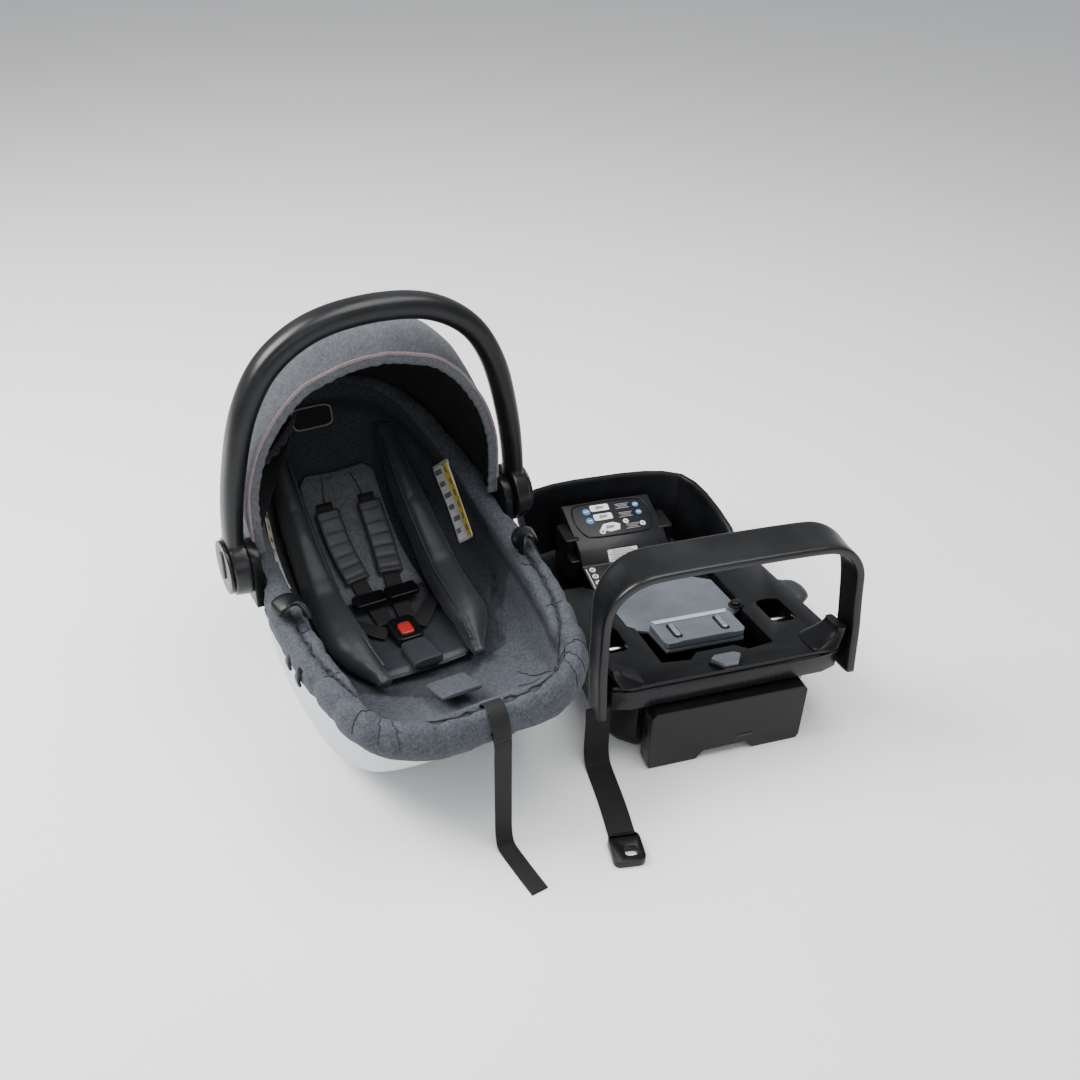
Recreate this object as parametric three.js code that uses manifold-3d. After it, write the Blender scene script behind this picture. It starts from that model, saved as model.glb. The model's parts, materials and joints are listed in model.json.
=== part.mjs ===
// An infant car seat: a carrier with a handle and a folding canopy, standing beside its vehicle base.
// Millimetres, +Z up. The foot ends of both point along -Y, and the carrier stands turned a little.
import * as THREE from "three";
import { mergeVertices } from "three/addons/utils/BufferGeometryUtils.js";
import Module from "manifold-3d";

// ---------- driving dimensions ----------
const CARRIER_X = -437; // where the carrier stands, measured from the base
const CARRIER_Y = 30;
const CARRIER_TURN = 11.5; // degrees, seen from above

const HUB_Z = 287; // height of the handle's pivots
const HUB_FACE = 199.6; // inner face of the handle's hub
const HUB_RADIUS = 42;
const HANDLE_DEPTH = 41;
const ROCKER_RADIUS = 900; // curve of the carrier's underside
const PROW_Y = -110; // from here to the foot end the underside rises faster
const SHELL_WALL = 4;
const SEAT_LOW = 116; // lowest point of the padded seat
const SEAT_LOW_Y = -70;
const CENTRE_Y = -50; // the point the seat's rings shrink towards

const DECK_HALF = 187; // half the width of the base's front deck
const DECK_FRONT = -250;
const DECK_FRONT_Z = 152;
const DECK_SLOPE = 0.162; // the deck falls towards the head end
const DECK_LIP = 42;
const FOOT_HALF = 122; // half the width of the recline foot
const BAR_HALF = 202; // outer half width of the rebound bar at its legs
const BAR_TOP = 332;
const BAR_LEAN = 0.138; // how far the bar leans back for each millimetre of height
const BAR_CORNER = 70;
const WEB = 25; // harness webbing
const WEB_THICK = 2;
const ANCHOR_WEB = 38; // the lower anchor's wider webbing

// ---------- helpers ----------
const wasm = await Module();
wasm.setup();
const v = (x, y, z) => new THREE.Vector3(x, y, z);
const lerp = THREE.MathUtils.lerp;
const rad = THREE.MathUtils.degToRad;

function solid(geometry) {
  const bare = geometry.clone();
  bare.deleteAttribute("normal");
  bare.deleteAttribute("uv");
  const merged = mergeVertices(bare, 1e-3);
  return new wasm.Manifold(
    new wasm.Mesh({
      numProp: 3,
      vertProperties: new Float32Array(merged.attributes.position.array),
      triVerts: new Uint32Array(merged.index.array),
    }),
  );
}

function surface(manifold) {
  const mesh = manifold.getMesh();
  const geometry = new THREE.BufferGeometry();
  geometry.setAttribute("position", new THREE.BufferAttribute(mesh.vertProperties, 3));
  geometry.setIndex(new THREE.BufferAttribute(mesh.triVerts, 1));
  return geometry;
}

// Turns a closed surface the right way out, whichever way its rings were walked.
function outward(points, faces) {
  const cross = new THREE.Vector3();
  let volume = 0;
  for (let i = 0; i < faces.length; i += 3) {
    const [a, b, c] = [points[faces[i]], points[faces[i + 1]], points[faces[i + 2]]];
    volume += a.dot(cross.crossVectors(b, c));
  }
  if (volume < 0) faces.reverse();
  const geometry = new THREE.BufferGeometry().setFromPoints(points);
  geometry.setIndex(faces);
  return geometry;
}

// One closed body through a list of rings, each with the same number of points.
function loft(rings) {
  const n = rings[0].length;
  const points = rings.flat();
  const faces = [];
  for (let r = 0; r + 1 < rings.length; r++)
    for (let i = 0; i < n; i++) {
      const a = r * n + i;
      const b = r * n + ((i + 1) % n);
      faces.push(a, b, b + n, a, b + n, a + n);
    }
  for (const r of [0, rings.length - 1]) {
    const centre = points.length;
    const middle = v(0, 0, 0);
    rings[r].forEach((p) => middle.addScaledVector(p, 1 / n));
    points.push(middle);
    for (let i = 0; i < n; i++) {
      const a = r * n + i;
      const b = r * n + ((i + 1) % n);
      faces.push(...(r === 0 ? [b, a, centre] : [a, b, centre]));
    }
  }
  return outward(points, faces);
}

// A sheet of even thickness over a surface at(u, v), with u and v from 0 to 1.
function sheet(at, across, along, thickness) {
  const points = [];
  const faces = [];
  for (const side of [0.5, -0.5])
    for (let j = 0; j <= along; j++)
      for (let i = 0; i <= across; i++) {
        const u = i / across;
        const w = j / along;
        const e = 1e-3;
        const du = at(Math.min(u + e, 1), w).sub(at(Math.max(u - e, 0), w));
        const dv = at(u, Math.min(w + e, 1)).sub(at(u, Math.max(w - e, 0)));
        points.push(at(u, w).addScaledVector(du.cross(dv).normalize(), side * thickness));
      }
  const row = across + 1;
  const layer = row * (along + 1);
  for (let j = 0; j < along; j++)
    for (let i = 0; i < across; i++) {
      const a = j * row + i;
      faces.push(a, a + 1, a + row + 1, a, a + row + 1, a + row);
      const b = a + layer;
      faces.push(b, b + row + 1, b + 1, b, b + row, b + row + 1);
    }
  const edge = [];
  for (let i = 0; i < across; i++) edge.push(i);
  for (let j = 0; j < along; j++) edge.push(j * row + across);
  for (let i = across; i > 0; i--) edge.push(along * row + i);
  for (let j = along; j > 0; j--) edge.push(j * row);
  edge.forEach((a, i) => {
    const b = edge[(i + 1) % edge.length];
    faces.push(a, b + layer, b, a, a + layer, b + layer);
  });
  return outward(points, faces);
}

// Sweeps a cross-section along points. section(t) gives pairs: along side, and along the normal.
function sweep(path, side, section) {
  const rings = path.map((p, i) => {
    const t = path[Math.min(i + 1, path.length - 1)].clone();
    t.sub(path[Math.max(i - 1, 0)]).normalize();
    const s = side.clone().addScaledVector(t, -side.dot(t)).normalize();
    const n = t.clone().cross(s);
    return section(i / (path.length - 1)).map(([a, b]) =>
      p.clone().addScaledVector(s, a).addScaledVector(n, b),
    );
  });
  return loft(rings);
}

// A rounded section, from an ellipse (power 1) towards a box (smaller power).
function rounded(width, height, power, count) {
  const round = (c) => Math.sign(c) * Math.abs(c) ** power;
  return Array.from({ length: count }, (_, i) => {
    const angle = ((i + 0.5) / count) * 2 * Math.PI;
    return [(width / 2) * round(Math.cos(angle)), (height / 2) * round(Math.sin(angle))];
  });
}

const strapSection = (width, thick) => () => rounded(width, thick, 0.3, 8);

function smooth(points, count) {
  return new THREE.CatmullRomCurve3(points, false, "centripetal").getPoints(count);
}

function box(x0, x1, y0, y1, z0, z1) {
  const geometry = new THREE.BoxGeometry(x1 - x0, y1 - y0, z1 - z0);
  return geometry.translate((x0 + x1) / 2, (y0 + y1) / 2, (z0 + z1) / 2);
}

// Extrudes an outline of [x, y] pairs from z0 to z1.
function slab(outline, z0, z1, holes = []) {
  const shape = new THREE.Shape(outline.map(([x, y]) => new THREE.Vector2(x, y)));
  for (const hole of holes)
    shape.holes.push(new THREE.Path(hole.map(([x, y]) => new THREE.Vector2(x, y))));
  const geometry = new THREE.ExtrudeGeometry(shape, { depth: z1 - z0, bevelEnabled: false });
  return geometry.translate(0, 0, z0);
}

// A rectangle with round corners, as an outline.
function pad(cx, cy, width, height, radius, steps = 3) {
  const outline = [];
  for (let corner = 0; corner < 4; corner++) {
    const sx = corner === 0 || corner === 3 ? 1 : -1;
    const sy = corner < 2 ? 1 : -1;
    for (let i = 0; i <= steps; i++) {
      const angle = ((corner + i / steps) * Math.PI) / 2;
      const x = cx + sx * (width / 2 - radius) + radius * Math.cos(angle);
      outline.push([x, cy + sy * (height / 2 - radius) + radius * Math.sin(angle)]);
    }
  }
  return outline;
}

// Stands a slab up so that its z runs along x, for plates on the carrier's sides.
const onSide = (geometry) => geometry.rotateY(Math.PI / 2).rotateX(Math.PI / 2);
const mirrored = (outline) => [...outline, ...outline.map(([x, y]) => [-x, y]).reverse()];

const part = new THREE.Group();
part.name = "infant_car_seat";
const base = new THREE.Group();
const carrier = new THREE.Group();
carrier.position.set(CARRIER_X, CARRIER_Y, 0);
carrier.rotation.z = rad(CARRIER_TURN);
part.add(base, carrier);

function add(group, name, geometry, color, roughness = 0.6, metalness = 0) {
  const flat = geometry.index ? geometry.toNonIndexed() : geometry;
  flat.computeVertexNormals();
  const material = new THREE.MeshStandardMaterial({ color, roughness, metalness });
  const mesh = new THREE.Mesh(flat, material);
  mesh.name = name;
  group.add(mesh);
  return mesh;
}

// Adds a left and a right copy: make(side) gets -1 for the left and 1 for the right.
function pair(group, name, make, ...look) {
  add(group, `${name}_left`, make(-1), ...look);
  add(group, `${name}_right`, make(1), ...look);
}

const BLACK = 0x17181a;
const DARK = 0x222326;
const CHARCOAL = 0x4a4d53;
const GREY = 0x6b7077;
const STEEL = 0xb9bcc0;
const SHELL = 0xc9ccce;

// ---------- the base ----------
const deckZ = (y) => DECK_FRONT_Z - DECK_SLOPE * (y - DECK_FRONT);
const trayTop = (y) => {
  const rear = 119 + Math.max(0, y - 60) * 0.07;
  return lerp(deckZ(y) - 12, rear, THREE.MathUtils.smoothstep(y, 54, 112));
};

const trayHalf = [
  v(0, 296, 0),
  v(86, 293, 0),
  v(148, 270, 0),
  v(168, 210, 0),
  v(169, 110, 0),
  v(168, 10, 0),
  v(168, -90, 0),
  v(166, -180, 0),
  v(128, -228, 0),
  v(0, -232, 0),
];
const closedCurve = (half) => {
  const left = half.slice(1, -1).map((p) => v(-p.x, p.y, p.z));
  return new THREE.CatmullRomCurve3([...half.reverse(), ...left], true, "centripetal");
};
// Rings around a closed curve: each point with its outward direction on the ground.
function ringFrame(curve, count) {
  return Array.from({ length: count }, (_, i) => {
    const p = curve.getPoint(i / count);
    const t = curve.getTangent(i / count);
    return { p, out: v(t.y, -t.x, 0).normalize() };
  });
}
const tray = ringFrame(closedCurve([...trayHalf]), 36);
const trayRing = (out, top, up) =>
  tray.map(({ p, out: n }) => {
    const q = p.clone().addScaledVector(n, out);
    return q.setZ(top * trayTop(p.y) + up);
  });
add(
  base,
  "base_tray",
  loft([
    trayRing(-34, 0, 0),
    trayRing(-12, 0, 4),
    trayRing(-5, 0, 22),
    trayRing(0, 1, -10),
    trayRing(6, 1, -8),
    trayRing(8, 1, -2),
    trayRing(4, 1, 3),
    trayRing(-3, 1, 3),
    trayRing(-6, 1, -3),
    trayRing(-9, 0, 26),
    trayRing(-16, 0, 8),
    trayRing(-34, 0, 4.5),
  ]),
  BLACK,
  0.45,
);

// The spine carries the instruction hump at the head end and runs forward under the belt path.
const spineProfile = [
  [268, 9],
  [268, 107],
  [260, 113],
  [180, 94],
  [158, 82],
  [142, 64],
  [64, 56],
  [40, 46],
  [-190, 46],
  [-190, 9],
];
const spineHollow = [
  [264, 2],
  [264, 104],
  [258, 108],
  [182, 90],
  [161, 78],
  [145, 60],
  [66, 51],
  [42, 41],
  [-186, 41],
  [-186, 2],
];
const block = (profile, half) => solid(outwardOf(onSide(slab(profile, -half, half))));
add(base, "base_spine", surface(block(spineProfile, 81).subtract(block(spineHollow, 77))), DARK, 0.5);

function outwardOf(geometry) {
  const flat = geometry.index ? geometry : mergeVertices(stripped(geometry), 1e-3);
  const at = flat.attributes.position;
  const points = Array.from({ length: at.count }, (_, i) => v(at.getX(i), at.getY(i), at.getZ(i)));
  return outward(points, [...flat.index.array]);
}
function stripped(geometry) {
  const bare = geometry.clone();
  bare.deleteAttribute("normal");
  bare.deleteAttribute("uv");
  return bare;
}

// The deck is cut from a block: hollow below, sloped on top, with openings and two bar notches.
const deckOutline = mirrored([
  [60, DECK_FRONT - 2],
  [150, DECK_FRONT - 1],
  [176, DECK_FRONT + 8],
  [DECK_HALF, DECK_FRONT + 26],
  [DECK_HALF, -70],
  [186, 20],
  [182, 44],
  [120, 40],
  [99, 20],
  [97, -96],
  [88, -106],
  [88, -206],
  [46, -212],
  [30, -196],
]).reverse();
const innerDeck = mirrored([
  [60, DECK_FRONT + 3],
  [148, DECK_FRONT + 4],
  [172, DECK_FRONT + 13],
  [DECK_HALF - 5, DECK_FRONT + 30],
  [DECK_HALF - 5, -70],
  [181, 18],
  [177, 39],
  [124, 34],
  [104, 18],
  [102, -98],
  [93, -110],
  [93, -211],
  [50, -217],
  [33, -201],
]).reverse();
// Leans a flat block to the deck's slope.
function lean(geometry) {
  const shear = new THREE.Matrix4().set(1, 0, 0, 0, 0, 1, 0, 0, 0, -DECK_SLOPE, 1, 0, 0, 0, 0, 1);
  const lift = DECK_FRONT_Z + DECK_SLOPE * DECK_FRONT;
  return geometry.applyMatrix4(shear).translate(0, 0, lift);
}
let deck = solid(lean(slab(deckOutline, -DECK_LIP, 0)));
deck = deck.subtract(solid(lean(slab(innerDeck, -DECK_LIP - 5, -7))));
for (const s of [-1, 1]) {
  // a side opening, room for the tray's wall at the rear edge, and a notch for the bar's leg
  deck = deck.subtract(solid(lean(slab(pad(s * 136, -124, 40, 70, 12), -60, 5))));
  deck = deck.subtract(solid(box(s > 0 ? 152 : -179, s > 0 ? 179 : -152, 25, 60, 0, 97.8)));
  deck = deck.subtract(solid(box(s > 0 ? 183.5 : -220, s > 0 ? 220 : -183.5, -258, -202, 60, 220)));
}
const buttonOutline = mirrored([
  [10, -249],
  [23, -229],
  [15, -222],
]).reverse();
const buttonHole = mirrored([
  [11, -249.8],
  [24.2, -229],
  [15.6, -221.2],
]).reverse();
deck = deck.subtract(solid(lean(slab(buttonHole, -20, 5))));
add(base, "base_deck", surface(deck), BLACK, 0.4);

// Two moulded sockets stand on the deck beside the legs of the rebound bar.
pair(
  base,
  "bar_socket",
  (s) => lean(slab(pad(s * 160, -226, 44, 46, 9), 0.4, 13)),
  DARK,
  0.35,
);

const plateOutline = mirrored([
  [62, -168],
  [66, -108],
  [93, -92],
  [93, 10],
  [60, 36],
]).reverse();
add(base, "belt_plate", lean(slab(plateOutline, -15, -9)), GREY, 0.5);
pair(base, "latch_rod", (s) => rod(s, 106, 154, -126, 112), STEEL, 0.25, 0.9);
function rod(s, x0, x1, y, z) {
  const geometry = new THREE.CylinderGeometry(5, 5, x1 - x0, 12);
  return geometry.rotateZ(Math.PI / 2).translate((s * (x0 + x1)) / 2, y, z);
}

// The oval lobe outside the right of the deck.
add(
  base,
  "side_lobe",
  sweep([v(190, -58, 101), v(198, -58, 101), v(212, -58, 103), v(224, -58, 101)], v(0, 1, 0), (t) =>
    rounded(lerp(70, 36, t * t), lerp(26, 12, t * t), 0.8, 14),
  ),
  CHARCOAL,
  0.7,
);

// The recline foot: a skirt with an arch at its bottom, open behind.
const footOutline = mirrored([
  [34, 14],
  [46, 0],
  [FOOT_HALF - 4, 0],
  [FOOT_HALF, 8],
  [FOOT_HALF, 96],
  [FOOT_HALF - 6, 104],
]);
let foot = solid(outwardOf(slab(footOutline, 0, 28).rotateX(Math.PI / 2).translate(0, -238, 0)));
foot = foot.subtract(solid(box(-FOOT_HALF + 5, FOOT_HALF - 5, -261, -230, 18, 98)));
add(base, "recline_foot", surface(foot), DARK, 0.5);

add(base, "recline_button", lean(slab(buttonOutline, -4, 9)), GREY, 0.45);

const doorOutline = mirrored([
  [60, -168],
  [65, -160],
  [65, -108],
  [60, -102],
]).reverse();
const doorSlots = [-1, 1].map((s) => pad(s * 38, -136, 14, 42, 6));
add(base, "lock_off_door", lean(slab(doorOutline, -6, 4, doorSlots)), GREY, 0.45);
pair(base, "door_hook", (s) => lean(slab(pad(s * 38, -136, 8, 34, 3.5), -4, 7)), STEEL, 0.2, 0.95);

add(
  base,
  "tension_tab",
  box(-13, 13, -17, 17, 0, 9).rotateX(rad(8)).translate(-22, 102, 65),
  DARK,
  0.55,
);

// The rebound bar: a broad flat band bent into a hoop, leaning back.
const barPath = [];
const barIn = BAR_HALF - 8;
const barTop = BAR_TOP - 8;
const leanBack = (x, z) => v(x, -230 + (z - 158) * BAR_LEAN, z);
for (const z of [104, 140, 180, 220, barTop - BAR_CORNER]) barPath.push(leanBack(barIn - Math.max(0, z - 180) * 0.05, z));
for (let i = 1; i <= 6; i++) {
  const a = (i / 6) * (Math.PI / 2);
  const x = barIn - 3.7 - BAR_CORNER + BAR_CORNER * Math.cos(a);
  barPath.push(leanBack(x, barTop - BAR_CORNER + BAR_CORNER * Math.sin(a)));
}
const barWhole = [...barPath, ...barPath.map((p) => v(-p.x, p.y, p.z)).reverse()];
add(
  base,
  "rebound_bar",
  sweep(barWhole, v(0, 1, 0), () => rounded(46, 16, 0.6, 12)),
  BLACK,
  0.35,
);

// Webbing of a lower anchor: it hangs from under the deck's corner and runs on along the floor.
const onFloor = (path) => path.map((p) => p.setZ(Math.max(p.z, WEB_THICK / 2 + 0.2)));
const anchorPath = onFloor(
  smooth(
    [
      v(-187, -224, 100),
      v(-187, -226, 70),
      v(-188, -230, 24),
      v(-188, -238, 6),
      v(-189, -256, 1.4),
      v(-194, -318, 1.4),
      v(-200.9, -372, 1.4),
    ],
    22,
  ),
);
add(
  base,
  "anchor_strap",
  sweep(anchorPath, v(1, 0, 0), strapSection(ANCHOR_WEB, WEB_THICK)),
  DARK,
  0.8,
);
const hookOutline = pad(0, -25, 44, 50, 9);
const hookHoles = [pad(0, -6, 38.6, 4.4, 1, 1), pad(4, -32, 18, 16, 5)];
add(
  base,
  "anchor_hook",
  slab(hookOutline, 0.4, 11.4, hookHoles).rotateZ(rad(-7)).translate(-202.1, -374.6, 0),
  BLACK,
  0.4,
);

// ---------- the carrier ----------
const rimHalf = [
  v(0, 273, 372),
  v(100, 248, 358),
  v(140, 203, 334),
  v(161, 140, 306),
  v(176, 60, 277),
  v(181, 0, 257),
  v(180, -110, 237),
  v(172, -215, 223),
  v(146, -308, 211),
  v(90, -346, 204),
  v(0, -350, 203),
];
const rim = ringFrame(closedCurve([...rimHalf]), 40);
const rocker = (y) => (y * y) / (2 * ROCKER_RADIUS) + 0.0017 * Math.min(0, y - PROW_Y) ** 2;
const seatFloor = (y) => SEAT_LOW + (y < SEAT_LOW_Y ? 0.0011 : 0.002) * (y - SEAT_LOW_Y) ** 2;

// A ring of the outer shell: k is its size against the rim, h its height from underside to rim.
const shellRing = (k, h, out, up) =>
  rim.map(({ p, out: n }) => {
    const q = v(p.x * k, CENTRE_Y + (p.y - CENTRE_Y) * k, 0).addScaledVector(n, out);
    return q.setZ(rocker(q.y) + (p.z - rocker(p.y)) * h + up);
  });
// A ring of the seat's bowl: k is its size, and depth the size whose height it takes.
const seatRing = (k, depth, up) =>
  rim.map(({ p }) => {
    const y = CENTRE_Y + (p.y - CENTRE_Y) * k;
    const deep = CENTRE_Y + (p.y - CENTRE_Y) * depth;
    return v(p.x * k, y, seatFloor(deep) + (p.z - seatFloor(p.y)) * depth ** 3 + up);
  });
// A ring that follows the rim, moved outward and up.
const rimRing = (out, up) =>
  rim.map(({ p, out: n }) => p.clone().addScaledVector(n, out).add(v(0, 0, up)));
// Height of the seat's padded surface at a point.
function seatAt(x, y) {
  const angle = Math.atan2(y - CENTRE_Y, x);
  let best = rim[0].p;
  let least = 9;
  for (const { p } of rim) {
    const turn = Math.abs(Math.atan2(Math.sin(Math.atan2(p.y - CENTRE_Y, p.x) - angle),
      Math.cos(Math.atan2(p.y - CENTRE_Y, p.x) - angle)));
    if (turn < least) {
      least = turn;
      best = p;
    }
  }
  const k = Math.hypot(x, y - CENTRE_Y) / Math.hypot(best.x, best.y - CENTRE_Y);
  return seatFloor(y) + (best.z - seatFloor(best.y)) * k ** 3;
}

add(
  carrier,
  "carrier_shell",
  loft([
    shellRing(0.4, 0, 0, 0),
    shellRing(0.6, 0, 0, 0),
    shellRing(0.72, 0.04, 0, 0),
    shellRing(0.84, 0.14, 0, 0),
    shellRing(0.92, 0.34, 0, 0),
    shellRing(0.965, 0.62, 0, 0),
    shellRing(1, 1, 0, 0),
    shellRing(1, 1, -SHELL_WALL, 0),
    shellRing(0.965, 0.62, -SHELL_WALL, 0),
    shellRing(0.92, 0.34, -SHELL_WALL, 2),
    shellRing(0.84, 0.14, -SHELL_WALL, 3),
    shellRing(0.72, 0.04, -SHELL_WALL, 4),
    shellRing(0.6, 0, -2, 5),
    shellRing(0.4, 0, 0, 5),
  ]),
  SHELL,
  0.5,
);

add(
  carrier,
  "foam_liner",
  loft([
    shellRing(0.4, 0, 0, 8),
    shellRing(0.58, 0, -2, 8),
    shellRing(0.7, 0.04, -5, 8),
    shellRing(0.82, 0.14, -5.5, 7),
    shellRing(0.9, 0.34, -4, 4),
    shellRing(0.945, 0.62, -3, 2),
    shellRing(0.965, 0.76, -5, 0),
    seatRing(0.9, 0.84, -16),
    seatRing(0.83, 0.74, -20),
    seatRing(0.7, 0.6, -20),
    seatRing(0.49, 0.4, -20),
    seatRing(0.19, 0.1, -20),
  ]),
  0xd7d8d6,
  0.9,
);

let cover = solid(
  loft([
    seatRing(0.15, 0.1, -13),
    seatRing(0.45, 0.4, -13),
    seatRing(0.66, 0.6, -13),
    seatRing(0.8, 0.74, -13),
    seatRing(0.87, 0.82, -8),
    rimRing(-15, -26),
    rimRing(-8, -8),
    rimRing(-5.5, 2),
    rimRing(1.5, 2),
    rimRing(1.5, -24),
    rimRing(5, -28),
    rimRing(13, -20),
    rimRing(16, -4),
    rimRing(13, 14),
    rimRing(4, 24),
    rimRing(-10, 25),
    rimRing(-24, 17),
    rimRing(-33, 0),
    seatRing(0.8, 0.8, 0),
    seatRing(0.66, 0.66, 0),
    seatRing(0.45, 0.45, 0),
    seatRing(0.2, 0.2, 0),
  ]),
);
// Notches for the handle's mounts and a slot for the adjuster strap.
for (const s of [-1, 1])
  cover = cover.subtract(solid(box(s > 0 ? 181.6 : -240, s > 0 ? 240 : -181.6, -37, 37, 200, 330)));
cover = cover.subtract(solid(box(-16, 16, -380, -351, 195, 202)));
add(carrier, "seat_cover", surface(cover), CHARCOAL, 0.95);

// Fixed mounts that carry the handle's pivots.
pair(
  carrier,
  "hub_mount",
  (s) => outwardOf(onSide(slab(mountOutline(), 0, 14)).translate(s > 0 ? 184 : -198, 0, HUB_Z)),
  BLACK,
  0.45,
);
function mountOutline() {
  const outline = [
    [32, -58],
    [32, 0],
  ];
  for (let i = 1; i < 8; i++) {
    const a = (i / 8) * Math.PI;
    outline.push([32 * Math.cos(a), 32 * Math.sin(a)]);
  }
  outline.push([-32, 0], [-32, -58]);
  return outline;
}

// The handle: one hoop, thicker across the top, joined to a round hub at each end.
const handleHalf = [
  v(210.6, 0, -4),
  v(210.6, 0, 50),
  v(199.5, 0, 137),
  v(174.5, 0, 228),
  v(139, 0, 284),
  v(82, 0, 320),
  v(0, 0, 332),
];
const handlePath = smooth(
  [...handleHalf, ...handleHalf.slice(0, -1).reverse().map((p) => v(-p.x, p.y, p.z))],
  34,
);
let handle = solid(
  sweep(handlePath, v(0, 1, 0), (t) => {
    const arch = Math.sin(Math.PI * t);
    return rounded(HANDLE_DEPTH, lerp(23, 35, arch ** 0.8), 0.7, 12);
  }),
);
for (const s of [-1, 1]) {
  const hub = new THREE.CylinderGeometry(HUB_RADIUS, HUB_RADIUS, 24, 28).rotateZ(Math.PI / 2);
  handle = handle.add(solid(hub.translate(s * (HUB_FACE + 12), 0, 0)));
  const pocket = outwardOf(onSide(slab(pad(0, 4, 15, 44, 7.4), 0, 8)));
  handle = handle.subtract(solid(pocket.translate(s > 0 ? 219 : -227, 0, 0)));
}
add(carrier, "handle", surface(handle).translate(0, 0, HUB_Z), BLACK, 0.3);

// Covers on the hubs, each with a slot for its button.
const slot = pad(0, 4, 15, 44, 7.4);
pair(
  carrier,
  "hub_cover",
  (s) =>
    outwardOf(
      onSide(slab(hubOutline(), 0, 4, [slot])).translate(s > 0 ? 224.6 : -228.6, 0, HUB_Z),
    ),
  DARK,
  0.4,
);
function hubOutline() {
  return Array.from({ length: 28 }, (_, i) => {
    const a = (i / 28) * 2 * Math.PI;
    return [36 * Math.cos(a), 38 * Math.sin(a)];
  });
}
pair(
  carrier,
  "handle_button",
  (s) =>
    outwardOf(
      onSide(slab(pad(0, 4, 13.6, 42.6, 6.7), 0, 6)).translate(s > 0 ? 225 : -231, 0, HUB_Z),
    ),
  GREY,
  0.45,
);

// Canopy: profiles of half width and radius about the pivots, turned through an arc.
const frontHalf = [v(183, 50, 0), v(180, 107, 0), v(155, 172, 0), v(104, 232, 0), v(60, 251, 0), v(0, 260, 0)];
const rearHalf = [v(190, 60, 0), v(186, 110, 0), v(170, 172, 0), v(136, 238, 0), v(88, 282, 0), v(0, 299, 0)];
const canopyAt = (half, from, to) => {
  const whole = [...half, ...half.slice(0, -1).reverse().map((p) => v(-p.x, p.y, 0))];
  const curve = new THREE.CatmullRomCurve3(whole, false, "centripetal");
  return (u, w) => {
    const p = curve.getPoint(u);
    const angle = rad(lerp(from, to, w));
    return v(p.x, p.y * Math.sin(angle), p.y * Math.cos(angle));
  };
};
const canopyPanel = (half, from, to, steps) =>
  sheet(canopyAt(half, from, to), 24, steps, 3).translate(0, 0, HUB_Z);
add(carrier, "canopy_front", canopyPanel(frontHalf, 1, 15, 2), GREY, 0.95);
add(carrier, "canopy_rear", canopyPanel(rearHalf, 13, 66, 6), CHARCOAL, 0.95);

const bowHalf = [v(176, 7, 0), v(177.5, 50, 0), ...frontHalf.slice(1)];
const bowPath = smooth(
  [...bowHalf, ...bowHalf.slice(0, -1).reverse().map((p) => v(-p.x, p.y, 0))].map((p) =>
    v(p.x, -6, p.y + HUB_Z),
  ),
  36,
);
add(carrier, "canopy_bow", sweep(bowPath, v(0, 1, 0), () => rounded(7, 7, 1, 8)), DARK, 0.5);

// Guides for the vehicle belt on both armrests.
pair(
  carrier,
  "belt_guide",
  (s) => {
    const path = [v(s * 160, -128, 276), v(s * 163, -112, 283), v(s * 176, -104, 283), v(s * 190, -104, 277)];
    return sweep(smooth(path, 8), v(0.2 * s, 1, 0), () => rounded(24, 6, 0.7, 8));
  },
  BLACK,
  0.35,
);

// The insert: a pad on the back and seat, and a bolster along each side.
const padHalf = (y) => lerp(50, 62, THREE.MathUtils.smoothstep(y, -35, 165));
add(
  carrier,
  "back_pad",
  sheet(
    (u, w) => {
      const y = lerp(-128, 192, w);
      const x = lerp(-1, 1, u) * padHalf(y);
      return v(x, y, seatAt(x, y) + 12);
    },
    8,
    12,
    9,
  ),
  CHARCOAL,
  0.95,
);
pair(
  carrier,
  "bolster",
  (s) => {
    const path = [];
    for (let i = 0; i <= 14; i++) {
      const y = lerp(196, -178, i / 14);
      const x = s * (88 + 8 * Math.sin((Math.PI * i) / 14));
      const high = Math.max(...[-22, 0, 22].map((d) => seatAt(x + d, y)));
      path.push(v(x, y, high + 19 + 0.12 * Math.max(0, y)));
    }
    return sweep(path, v(1, 0, 0), (t) => {
      const full = Math.sin(Math.PI * lerp(0.12, 0.88, t)) ** 0.5;
      return rounded(40 * full, 30 * full, 0.9, 10);
    });
  },
  BLACK,
  0.45,
);

// The harness lies on the pad: two shoulder straps, two lap straps and one between the legs.
const onPad = (x, y, up) => v(x, y, seatAt(x, y) + up);
const shoulderX = (y) => lerp(17, 34, THREE.MathUtils.smoothstep(y, -52, 118));
const shoulder = (s, from, to, up) =>
  Array.from({ length: 11 }, (_, i) => {
    const y = lerp(from, to, i / 10);
    return onPad(s * shoulderX(y), y, up);
  });
pair(
  carrier,
  "shoulder_strap",
  (s) => sweep(shoulder(s, 140, -42, 24), v(1, 0, 0), strapSection(WEB, WEB_THICK)),
  DARK,
  0.85,
);
pair(
  carrier,
  "shoulder_pad",
  (s) => sweep(shoulder(s, 128, 50, 31), v(1, 0, 0), strapSection(34, 7)),
  BLACK,
  0.8,
);
pair(
  carrier,
  "lap_strap",
  (s) =>
    sweep(
      [onPad(s * 56, -32, 22), onPad(s * 48, -42, 24), onPad(s * 39, -52, 26), onPad(s * 30, -62, 27)],
      v(0.35 * s, 1, 0.1),
      strapSection(WEB, WEB_THICK),
    ),
  DARK,
  0.85,
);
add(
  carrier,
  "crotch_strap",
  sweep(
    [onPad(0, -144, 18), onPad(0, -132, 20), onPad(0, -117, 24), onPad(0, -100, 27)],
    v(1, 0, 0),
    strapSection(WEB, WEB_THICK),
  ),
  DARK,
  0.85,
);
const buckleZ = seatAt(0, -70) + 20;
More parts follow.
